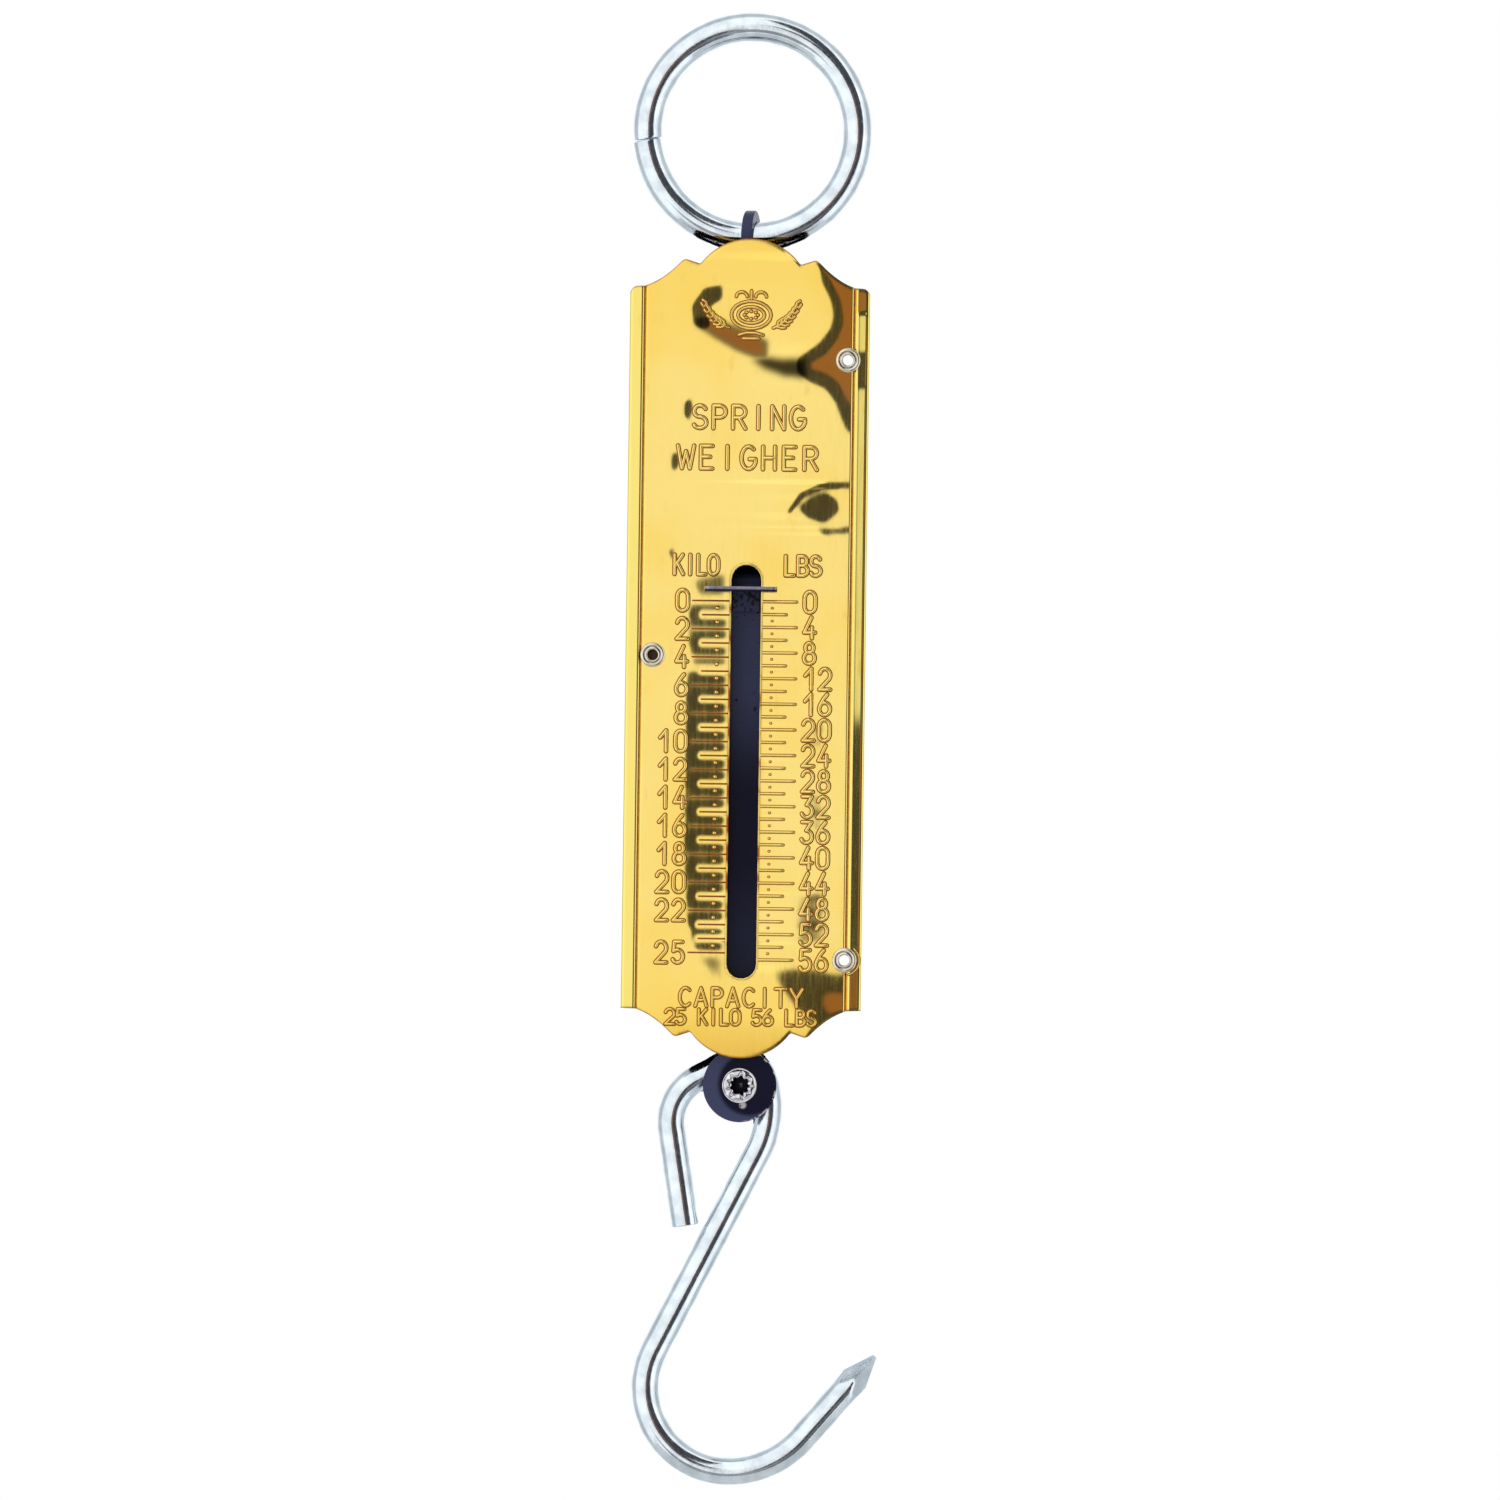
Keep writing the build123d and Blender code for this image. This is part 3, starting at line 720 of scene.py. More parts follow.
@dataclass
class Outline:
    """The outline of the face, the same above and below its middle."""

    half: float
    crown: float
    valley: Point = (8.3, 4.3)
    shoulder: Point = (11.0, 3.4)
    sweep: Point = (14.3, 6.4)
    groove: Point = (17.4, 8.0)
    strip_drop: float = 8.1
    corner: float = 1.4
    shoulder_blend: float = 0.8

    def height(self, x: np.ndarray, upper: np.ndarray) -> np.ndarray:
        """How far the outline stands from the middle, at each x; only upper corners are round."""
        across = np.abs(x)
        (vx, vd), (sx, sd), (gx, gd) = self.valley, self.shoulder, self.groove
        radius = (vx**2 + vd**2) / (2 * vd)
        dome = radius - np.sqrt(np.maximum(radius**2 - across**2, 0))
        slope = vd + (sd - vd) * (across - vx) / (sx - vx)
        bow = self._bow(across, sd, gd)
        share = np.clip(1 - np.abs(slope - bow) / self.shoulder_blend, 0, 1)
        peak = np.maximum(slope, bow) + share**2 * self.shoulder_blend / 4
        drop = np.where(across > vx, peak, dome)
        drop = np.where(across > gx, self.strip_drop, drop)
        inner = self.half - self.corner
        rounded = self.corner - np.sqrt(np.maximum(self.corner**2 - (across - inner) ** 2, 0))
        drop = drop + np.where((across > inner) & upper, rounded, 0)
        return self.crown - drop

    def _bow(self, across: np.ndarray, start: float, stop: float) -> np.ndarray:
        """The hollow sweep from the shoulder to the groove, as a parabola through its middle."""
        nodes = np.array([self.shoulder[0], self.sweep[0], self.groove[0]])
        drops = np.array([start, self.sweep[1], stop])
        return np.polyval(np.polyfit(nodes, drops, 2), across)


@dataclass(frozen=True)
class Dent:
    """A place where stamping left the sheet leaning back to the right."""

    outline: tuple[Point, ...]
    lean: float = 1.0
    soft: float = 0.5


DENTS = (
    # left of the medallion
    Dent(
        (
            (-4.3, -40.6), (-7.7, -41.2), (-9.8, -44.2), (-9.4, -47.7), (-7.6, -48.6), (-6.0, -47.8),
            (-6.6, -46.6), (-6.4, -44.6), (-4.2, -43.3),
        ),
        1.25,
        0.4,
    ),
    # the swirl on the upper right, and its darker heart
    Dent(
        (
            (11.3, -36.0), (11.9, -40.2), (13.4, -43.2), (14.0, -45.7), (13.3, -48.2), (11.5, -50.4),
            (9.4, -51.8), (7.6, -53.0), (7.8, -55.4), (10.1, -56.9), (12.9, -57.9),
            (14.5, -60.1), (15.4, -62.5), (16.9, -65.4), (17.6, -64.0), (17.6, -35.5),
        ),
        1.25,
        0.5,
    ),
    Dent(
        (
            (13.2, -36.0), (13.4, -40.5), (14.9, -43.5), (15.4, -46.5), (14.6, -49.3), (12.6, -51.9),
            (9.6, -53.4), (9.8, -55.0), (12.6, -55.6), (14.8, -57.0), (16.0, -59.4), (17.6, -62.0),
            (17.6, -36.0),
        ),
        2.2,
        0.5,
    ),
    # the drop under the title, its upper contour and its lower one
    Dent(
        (
            (8.2, -77.7), (10.6, -75.9), (12.9, -75.1), (15.0, -76.3), (15.5, -78.2), (12.9, -80.1),
            (10.0, -79.3),
        ),
        1.3,
        0.4,
    ),
    Dent(
        (
            (6.4, -78.6), (8.8, -75.3), (12.3, -73.6), (17.6, -73.4), (17.6, -74.3), (12.4, -74.5),
            (9.3, -76.0), (7.4, -78.6),
        ),
        1.5,
        0.2,
    ),
    Dent(((11.2, -80.9), (14.0, -81.2), (17.6, -80.8), (17.6, -81.7), (12.8, -82.1)), 1.3, 0.25),
    # the band left of the slot
    Dent(((-9.5, -93.6), (-3.0, -93.6), (-3.0, -104), (-8.9, -104), (-9.5, -100)), 1.15, 0.45),
    Dent(
        ((-9.8, -105), (-3.0, -105), (-3.0, -151.5), (-7.6, -151.5), (-9.2, -146), (-9.8, -130)),
        1.35,
        0.5,
    ),
    Dent(((-7.5, -151.8), (-3.2, -151.8), (-1.5, -157.2), (-5.5, -156.6)), 0.85, 0.8),
    # the lower right corner, and its darker heart
    Dent(
        (
            (4.0, -154.6), (8.0, -153.8), (12.0, -153.9), (17.6, -155), (17.6, -163), (13, -164.5),
            (9.0, -161), (6, -156.8),
        ),
        1.1,
        1.0,
    ),
    Dent(((13.0, -157.0), (17.6, -157.5), (17.6, -162.5), (14.0, -162.8), (12.6, -160)), 2.1, 1.1),
    # under the figures on the right
    Dent(((10.2, -113), (13.6, -112), (13.8, -118), (11.0, -120)), 0.66, 0.9),
    Dent(((10.2, -126), (13.0, -123), (14.2, -130), (11.6, -133.5)), 0.74, 0.9),
    Dent(((8.6, -143), (13.8, -140), (14.4, -149.5), (9.2, -150.5)), 0.82, 0.9),
    # beside the first letters of the title and of the unit, and above the left zero
    Dent(((-10.7, -60.2), (-9.4, -59.5), (-9.1, -61.3), (-9.7, -63.9), (-10.6, -62.9)), 1.4, 0.35),
    Dent(((-12.7, -69.0), (-11.5, -68.4), (-11.2, -70.6), (-11.9, -72.2), (-12.7, -71.6)), 1.4, 0.35),
    Dent(((-13.1, -84.8), (-11.8, -84.5), (-12.1, -87.6)), 1.4, 0.3),
    Dent(((-9.2, -89.6), (-3.2, -88.4), (-3.0, -92.6), (-8.0, -92.8)), 1.0, 0.6),
)


@dataclass(frozen=True)
class Toning:
    """A painted reflection: a place where the sheet's colour is painted olive and amber by given strengths.
    """

    outline: tuple[Point, ...]
    olive: float = 0.0
    amber: float = 0.0
    soft: float = 0.3


# Painted reflections of dark surroundings: olive and amber patches along the medallion's lower left and a
# tail to its right.
PAINTED_REFLECTIONS = (
    Toning(
        (
            (-9.3, -46.4), (-7.0, -46.0), (-3.8, -47.1), (-1.1, -48.0), (1.7, -49.2), (3.1, -50.2),
            (3.0, -53.0), (1.1, -53.1), (-2.1, -51.9), (-6.0, -49.7), (-8.9, -47.8),
        ),
        olive=0.85,
    ),
    Toning(
        (
            (-7.9, -47.1), (-6.2, -46.8), (-3.7, -47.9), (-1.0, -48.9), (1.6, -50.1), (2.4, -50.7),
            (2.3, -52.4), (0.8, -52.3), (-2.2, -51.0), (-5.8, -48.9),
        ),
        amber=0.95,
        soft=0.4,
    ),
    Toning(
        ((0.2, -53.2), (2.6, -52.6), (5.6, -53.0), (9.4, -52.8), (9.8, -56.4), (5.8, -56.0), (2.4, -54.8)),
        olive=1.0,
        soft=0.45,
    ),
)


class Relief:
    """How far back each place of the sheet lies, from the dents around its stamping.

    Inside a dent the sheet leans back to the right. Elsewhere in the same rows it comes
    forward again by as much, so that both edges stay where they are.
    """

    SPAN = 17.2
    STEP = 0.2
    LEAN = 0.036

    def __init__(
        self,
        low: float,
        high: float,
        dents: Sequence[Dent],
        proud: Sequence[tuple[Point, Point, float]],
    ) -> None:
        """Work the depths out on a square grid.

        Args:
            low: the lowest z of the sheet.
            high: the highest z of the sheet.
            dents: the leaning places.
            proud: two ends and a radius of each stamped line that keeps the sheet level round it.
        """
        self.xs = np.arange(-self.SPAN, self.SPAN + self.STEP / 2, self.STEP)
        self.zs = np.arange(low, high + self.STEP, self.STEP)
        x, z = np.meshgrid(self.xs, self.zs)
        level = np.ones_like(x)
        for start, stop, radius in proud:
            level = np.minimum(level, np.clip((self._distance(x, z, start, stop) - radius) / 0.3, 0, 1))
        lean = np.zeros_like(x)
        for dent in dents:
            mask = self._blur(self._inside(x, z, dent.outline).astype(float), dent.soft)
            lean = np.maximum(lean, mask * dent.lean)
        lean = self._blur(lean * level, 0.12)
        rest = np.clip(1 - lean, 0.05, 1) * np.clip((self.SPAN - np.abs(x)) / 2, 0, 1)
        back = self._blur((lean.sum(1) / rest.sum(1))[:, None], 1.5, (0,))
        slope = (lean - rest * back) * self.LEAN
        depths = np.cumsum(slope, axis=1) * self.STEP
        ramp = (self.xs + self.SPAN) / (2 * self.SPAN)
        self.depths = self._blur(depths - depths[:, -1:] * ramp, 0.2, (0,))
        # Painted reflections: how strongly each place is painted olive and amber.
        self.tones = {name: self._toned(x, z, name) for name in ("olive", "amber")}

    def _toned(self, x: np.ndarray, z: np.ndarray, name: str) -> np.ndarray:
        """How strongly each place of the grid is painted in one reflected colour."""
        found = np.zeros_like(x)
        for reflection in PAINTED_REFLECTIONS:
            strength = getattr(reflection, name)
            if strength:
                mask = self._blur(self._inside(x, z, reflection.outline).astype(float), reflection.soft)
                found = np.maximum(found, mask * strength)
        return found

    @staticmethod
    def _inside(x: np.ndarray, z: np.ndarray, outline: Sequence[Point]) -> np.ndarray:
        """Which places lie inside a closed outline."""
        found = np.zeros(x.shape, bool)
        for (ax, az), (bx, bz) in zip(outline, outline[1:] + outline[:1]):
            if az == bz:
                continue
            crosses = (az > z) != (bz > z)
            found ^= crosses & (x < (bx - ax) * (z - az) / (bz - az) + ax)
        return found

    @staticmethod
    def _distance(x: np.ndarray, z: np.ndarray, start: Point, stop: Point) -> np.ndarray:
        """How far each place is from a straight line between two points."""
        (ax, az), (bx, bz) = start, stop
        dx, dz = bx - ax, bz - az
        along = np.clip(((x - ax) * dx + (z - az) * dz) / (dx**2 + dz**2), 0, 1)
        return np.hypot(x - ax - along * dx, z - az - along * dz)

    def _blur(self, layer: np.ndarray, size: float, axes: tuple[int, ...] = (0, 1)) -> np.ndarray:
        """Soften a layer of the grid by about this many millimetres, along z (0) and x (1)."""
        reach = max(1, round(3 * size / self.STEP))
        weights = np.exp(-0.5 * (np.arange(-reach, reach + 1) * self.STEP / size) ** 2)
        weights /= weights.sum()
        for axis in axes:
            pad = [(reach, reach) if a == axis else (0, 0) for a in (0, 1)]
            padded = np.pad(layer, pad, mode="edge")
            count = layer.shape[axis]
            parts = [np.take(padded, range(i, i + count), axis=axis) * w for i, w in enumerate(weights)]
            layer = np.sum(parts, axis=0)
        return layer

    def at(self, x: np.ndarray, z: np.ndarray) -> np.ndarray:
        """The depth at each place, in millimetres."""
        return self.read(self.depths, x, z)

    def read(self, grid: np.ndarray, x: np.ndarray, z: np.ndarray) -> np.ndarray:
        """Read a grid between its points; it is 0 outside the sheet."""
        column = np.clip((x - self.xs[0]) / self.STEP, 0, len(self.xs) - 1.001)
        row = np.clip((z - self.zs[0]) / self.STEP, 0, len(self.zs) - 1.001)
        i, j = column.astype(int), row.astype(int)
        u, v = column - i, row - j
        low = grid[j, i] * (1 - u) + grid[j, i + 1] * u
        high = grid[j + 1, i] * (1 - u) + grid[j + 1, i + 1] * u
        return np.where(np.abs(x) > self.SPAN, 0, low * (1 - v) + high * v)


GLYPHS: dict[str, list[list[Point]]] = {
    "0": [arc(0.31, 0.69, 0.31, 0.31, 0, 180) + arc(0.31, 0.31, 0.31, 0.31, 180, 360) + [(0.62, 0.69)]],
    "1": [[(0.10, 0.66), (0.44, 1.0), (0.44, 0.0)]],
    "2": [arc(0.31, 0.70, 0.30, 0.30, 165, -38) + [(0.0, 0.0), (0.62, 0.0)]],
    "3": [[(0.04, 1.0), (0.56, 1.0), (0.28, 0.60)] + arc(0.29, 0.30, 0.31, 0.30, 80, -155)],
    "4": [[(0.40, 1.0), (0.0, 0.27), (0.62, 0.27)], [(0.44, 0.52), (0.44, 0.0)]],
    "5": [[(0.56, 1.0), (0.10, 1.0), (0.06, 0.55)] + arc(0.29, 0.31, 0.31, 0.31, 120, -150)],
    "6": [[(0.45, 1.0), (0.24, 0.78), (0.08, 0.52)] + arc(0.31, 0.30, 0.31, 0.30, 160, -195)],
    "8": [arc(0.31, 0.77, 0.23, 0.23, 0, 360), arc(0.31, 0.28, 0.31, 0.28, 0, 360)],
    "A": [[(0.0, 0.0), (0.31, 1.0), (0.62, 0.0)], [(0.12, 0.33), (0.50, 0.33)]],
    "B": [
        [(0.06, 0.0), (0.06, 1.0), (0.30, 1.0)] + arc(0.32, 0.76, 0.22, 0.24, 90, -90) + [(0.06, 0.52)],
        arc(0.32, 0.26, 0.28, 0.26, 90, -90) + [(0.06, 0.0)],
    ],
    "C": [arc(0.34, 0.5, 0.32, 0.5, 48, 312)],
    "E": [[(0.56, 1.0), (0.06, 1.0), (0.06, 0.0), (0.56, 0.0)], [(0.06, 0.52), (0.46, 0.52)]],
    "G": [arc(0.34, 0.5, 0.32, 0.5, 50, 335) + [(0.63, 0.44), (0.38, 0.44)]],
    "H": [[(0.06, 0.0), (0.06, 1.0)], [(0.58, 0.0), (0.58, 1.0)], [(0.06, 0.5), (0.58, 0.5)]],
    "I": [[(0.31, 0.0), (0.31, 1.0)]],
    "K": [[(0.06, 0.0), (0.06, 1.0)], [(0.56, 1.0), (0.06, 0.40)], [(0.22, 0.60), (0.60, 0.0)]],
    "L": [[(0.08, 1.0), (0.08, 0.0), (0.54, 0.0)]],
    "N": [[(0.06, 0.0), (0.06, 1.0), (0.58, 0.0), (0.58, 1.0)]],
    "O": [arc(0.32, 0.66, 0.30, 0.34, 0, 180) + arc(0.32, 0.34, 0.30, 0.34, 180, 360) + [(0.62, 0.66)]],
    "P": [[(0.06, 0.0), (0.06, 1.0), (0.30, 1.0)] + arc(0.33, 0.74, 0.26, 0.26, 90, -90) + [(0.06, 0.48)]],
    "R": [
        [(0.06, 0.0), (0.06, 1.0), (0.30, 1.0)] + arc(0.33, 0.74, 0.26, 0.26, 90, -90) + [(0.06, 0.48)],
        [(0.32, 0.48), (0.60, 0.0)],
    ],
    "S": [arc(0.32, 0.75, 0.26, 0.25, 25, 270) + arc(0.32, 0.25, 0.28, 0.25, 80, -155)],
    "T": [[(0.02, 1.0), (0.60, 1.0)], [(0.31, 1.0), (0.31, 0.0)]],
    "W": [[(-0.04, 1.0), (0.14, 0.0), (0.31, 0.75), (0.48, 0.0), (0.66, 1.0)]],
    "Y": [[(0.0, 1.0), (0.31, 0.48), (0.62, 1.0)], [(0.31, 0.48), (0.31, 0.0)]],
    " ": [],
}


@dataclass(frozen=True)
class Lettering:
    """A row of stamped line letters."""

    text: str
    centre: Point
    height: float
    width: float

    def strokes(self) -> list[list[Point]]:
        """The centre lines of the letters, in x and z."""
        gaps = len(self.text) - 1
        glyph = 0.62
        pitch = (self.width - glyph * self.wide()) / gaps if gaps else 0.0
        left = self.centre[0] - self.width / 2 if gaps else self.centre[0] - glyph * self.wide() / 2
        low = self.centre[1] - self.height / 2
        lines = []
        for number, letter in enumerate(self.text):
            start = left + number * pitch
            for stroke in GLYPHS[letter]:
                lines.append([(start + x * self.wide(), low + z * self.height) for x, z in stroke])
        return lines

    def wide(self) -> float:
        """The width that a glyph's unit stands for."""
        return min(self.height * 1.02, self.width / max(len(self.text) - 0.2, 1) / 0.74)


@dataclass(frozen=True)
class Scale:
    """The graduation on one side of the slot."""

    side: Side
    zero: float
    unit: float
    long_every: int
    long_end: float
    short_end: float
    dot_at: float
    dot_radius: float
    labels: tuple[int, ...]
    last: int
    line_radius: float
    # how brown each line is painted, as shade and reflection
    line_stain: float
    line_foot: float
    digits: tuple[float, float]
    extra_long: tuple[int, ...] = ()

    def level(self, amount: float) -> float:
        """The height of a mark."""
        return self.zero - self.unit * amount

    def is_long(self, amount: int) -> bool:
        """Whether a whole mark is a long one."""
        regular = amount % self.long_every == 0 and amount < self.last - 1
        return regular or amount == self.last or amount in self.extra_long


KILO_SCALE = Scale(
    side=Side.LEFT,
    zero=-93.3,
    unit=2.337,
    long_every=2,
    long_end=8.85,
    short_end=7.2,
    dot_at=4.75,
    dot_radius=0.25,
    labels=(*range(0, 23, 2), 25),
    last=25,
    line_radius=0.075,
    line_stain=0.85,
    line_foot=0.07,
    digits=(10.55, 13.35),
)
POUND_SCALE = Scale(
    side=Side.RIGHT,
    zero=-93.35,
    unit=1.062,
    long_every=4,
    long_end=8.4,
    short_end=6.7,
    dot_at=4.35,
    dot_radius=0.12,
    labels=tuple(range(0, 57, 4)),
    last=56,
    line_radius=0.165,
    line_stain=0.2,
    line_foot=0.12,
    digits=(10.6, 13.25),
    extra_long=(56,),
)

# How far past a stroke's end, and how wide there, a rounded end is; both in shares of its radius.
ROUND_END = ((0.98, 0.2), (0.85, 0.53), (0.5, 0.87))


@dataclass
class Stamping:
    """Everything that is stamped up out of the face: scales, figures, letters and the medallion."""

    front: float
    relief: Relief | None = None
    slot_half: float = 2.5
    letter_radius: float = 0.25
    foot_share: float = 0.8
    digit_height: float = 3.45
    digit_width: float = 2.15
    squash: float = 0.85
    foot_rise: float = 0.035
    spacing: float = 0.7

    def ticks(self, scale: Scale) -> list[tuple[Point, Point]]:
        """The graduation lines, from the slot outwards."""
        step = 1 if scale.side is Side.LEFT else 2
        lines = []
        for amount in range(0, scale.last + 1, step):
            end = scale.long_end if scale.is_long(amount) else scale.short_end
            z = scale.level(amount)
            lines.append(((scale.side.value * (self.slot_half + 0.15), z), (scale.side.value * end, z)))
        return lines

    def proud(self) -> list[tuple[Point, Point, float]]:
        """The kilo lines and how far round each the sheet stays level, more by the short ones."""
        short_of = KILO_SCALE.long_end - 0.1
        return [(a, b, 0.42 if abs(b[0]) < short_of else 0.05) for a, b in self.ticks(KILO_SCALE)]

    def ridge(
        self,
        name: str,
        strokes: Sequence[Sequence[Point]],
        radius: float,
        crest_shade: float = 0.0,
        foot: float = 0.16,
    ) -> Object:
        """Raise rounded lines out of the sheet, with a foot on each side marked for painted brown shade and
        reflection.

        Args:
            name: the piece's name.
            strokes: the centre lines, in x and z.
            radius: half the width of a line.
            crest_shade: how brown its crest is painted, as shade and reflection, from 0 to 1.
            foot: how far the painted shade reaches past the line.

        Returns:
            The raised lines, which follow the lie of the sheet.
        """
        runs = [run for stroke in strokes for run in self._runs(stroke)]
        crest = wire(name, [self._rounded(run, radius) for run in runs], radius, 12)
        places = corners_of(crest)
        rise = -places[:, 1] / radius
        # Painted shade and reflection: the flanks near the sheet, and the crest by crest_shade, are marked
        # to be browned.
        mark(crest, "crevice", np.clip(np.maximum(1 - rise / 0.45, crest_shade), 0, 1))
        self._lay_on(crest, places, self.squash)
        wide = radius + foot
        base = wire(f"{name}_foot", [self._rounded(run, wide) for run in runs], wide, 8)
        places = corners_of(base)
        # Painted shade and reflection: the whole foot is marked to be browned.
        mark(base, "crevice", np.ones(len(places)))
        self._lay_on(base, places, self.foot_rise / wide)
        return join(name, [crest, base])

    @staticmethod
    def _runs(stroke: Sequence[Point]) -> list[Sequence[Point]]:
        """Break a stroke at its sharp corners."""
        cuts = [0]
        for i in range(1, len(stroke) - 1):
            first = np.subtract(stroke[i], stroke[i - 1])
            second = np.subtract(stroke[i + 1], stroke[i])
            size = np.linalg.norm(first) * np.linalg.norm(second)
            if size > 0 and np.dot(first, second) < 0.72 * size:
                cuts.append(i)
        return [stroke[a : b + 1] for a, b in zip(cuts, cuts[1:] + [len(stroke) - 1]) if b > a]

    def _lay_on(self, piece: Object, places: np.ndarray, squash: float) -> None:
        """Flatten a piece and lay it on the sheet."""
        places[:, 1] *= squash
        places[:, 1] += self.front + self.relief.at(places[:, 0], places[:, 2])
        move_corners(piece, places)

    def _rounded(self, stroke: Sequence[Point], radius: float) -> np.ndarray:
        """Give a stroke rounded ends past its own, and points close enough to follow the sheet."""
        points = [Vector((stroke[0][0], 0, stroke[0][1]))]
        for x, z in stroke[1:]:
            start, stop = points[-1], Vector((x, 0, z))
            count = max(1, math.ceil((stop - start).length / self.spacing))
            points += [start.lerp(stop, i / count) for i in range(1, count + 1)]
        ways = ((points[0] - points[1]).normalized(), (points[-1] - points[-2]).normalized())
        rows = [(*(points[0] + ways[0] * radius * past), wide) for past, wide in ROUND_END]
        rows += [(*point, 1.0) for point in points]
        rows += [(*(points[-1] + ways[1] * radius * past), wide) for past, wide in ROUND_END[::-1]]
        return np.array(rows)

    def figures(self, scale: Scale) -> list[list[Point]]:
        """The strokes of a scale's figures."""
        inner, outer = (scale.side.value * x for x in scale.digits)
        strokes = []
        for label in scale.labels:
            digits = str(label)
            columns = [inner] if len(digits) == 1 else sorted((inner, outer))
            for digit, x in zip(digits, columns):
                place = (x, scale.level(label))
                row = Lettering(digit, place, self.digit_height, self.digit_width)
                strokes += row.strokes()
        return strokes

    def medallion(self) -> list[list[Point]]:
        """An oval medallion between two leafy sprigs, centred above the lettering."""
        cx, cz = 0.2, -45.8
        strokes = [arc(cx, cz, 3.3, 2.3, 0, 360), arc(cx, cz, 2.2, 1.35, 0, 360)]
        for bead in range(8):
            angle = math.tau * bead / 8
            x, z = cx + 1.1 * math.cos(angle), cz + 0.62 * math.sin(angle)
            strokes.append([(x - 0.05, z), (x + 0.05, z)])
        for side in (-1, 1):
            stem = [(cx + side * (3.7 + 0.62 * i), cz - 2.1 + 0.16 * i + 0.075 * i * i) for i in range(7)]
            strokes.append(stem)
            for i, (x, z) in enumerate(stem[1:]):
                reach = 1.35 - 0.1 * i
                out = side * reach
                strokes.append([(x, z), (x + 0.15 * out, z + 0.6 * reach), (x + 0.75 * out, z + reach)])
                strokes.append([(x, z), (x + 0.55 * out, z - 0.25), (x + out, z - 0.2 + 0.1 * i)])
            turn = (180, 0) if side > 0 else (0, 180)
            strokes.append(arc(cx + side * 1.6, cz + 3.05, 0.9, 0.75, *turn))
        strokes.append([(cx, cz + 2.7), (cx, cz + 4.0)])
        ribbon = ((-2.0, -3.3), (-0.7, -2.95), (0.7, -2.95), (2.0, -3.3))
        strokes.append([(cx + x, cz + z) for x, z in ribbon])
        strokes.append([(cx - 1.3, cz - 3.9), (cx + 1.3, cz - 3.9)])
        return strokes

    def build(self) -> list[Object]:
        """Raise all of it."""
        made = []
        for scale, word in ((KILO_SCALE, "kilo"), (POUND_SCALE, "pound")):
            lines = [list(tick) for tick in self.ticks(scale)]
            shape = (scale.line_radius, scale.line_stain, scale.line_foot)
            made.append(self.ridge(f"{word}_lines", lines, *shape))
            made.append(self.ridge(f"{word}_figures", self.figures(scale), self.letter_radius))
            halves = [scale.level(n + (0.5 if scale.side is Side.LEFT else 1.0)) for n in self._gaps(scale)]
            x = scale.side.value * scale.dot_at
            dots = [[(x - 0.04, z), (x + 0.04, z)] for z in halves]
            made.append(self.ridge(f"{word}_dots", dots, scale.dot_radius, 0.0, 0.12))
        rows = {
            "title_letters": (
                Lettering("SPRING", (0.0, -62.8), 3.75, 18.6),
                Lettering("WEIGHER", (0.0, -69.5), 3.75, 23.0),
            ),
            "unit_letters": (
                Lettering("KILO", (-8.4, -87.35), 3.2, 7.4),
                Lettering("LBS", (9.3, -87.35), 3.2, 6.1),
            ),
            "foot_letters": (
                Lettering("CAPACITY", (0.0, -159.1), 3.0, 20.4),
                Lettering("25 KILO 56 LBS", (0.0, -162.4), 2.5, 25.0),
            ),
        }
        for name, letterings in rows.items():
            strokes = [stroke for row in letterings for stroke in row.strokes()]
            share = self.foot_share if name == "foot_letters" else 1.0
            made.append(self.ridge(name, strokes, self.letter_radius * share))
        made.append(self.ridge("medallion", self.medallion(), 0.19, 0.3, 0.15))
        press_mark = arc(17.1, -152.7, 2.5, 2.5, -75, 50)
        made.append(self.ridge("eyelet_press_mark", [press_mark], 0.12, 0.3, 0.1))
        return made

    @staticmethod
    def _gaps(scale: Scale) -> range:
        """The whole marks that a dot follows."""
        return range(0, scale.last) if scale.side is Side.LEFT else range(0, scale.last, 2)


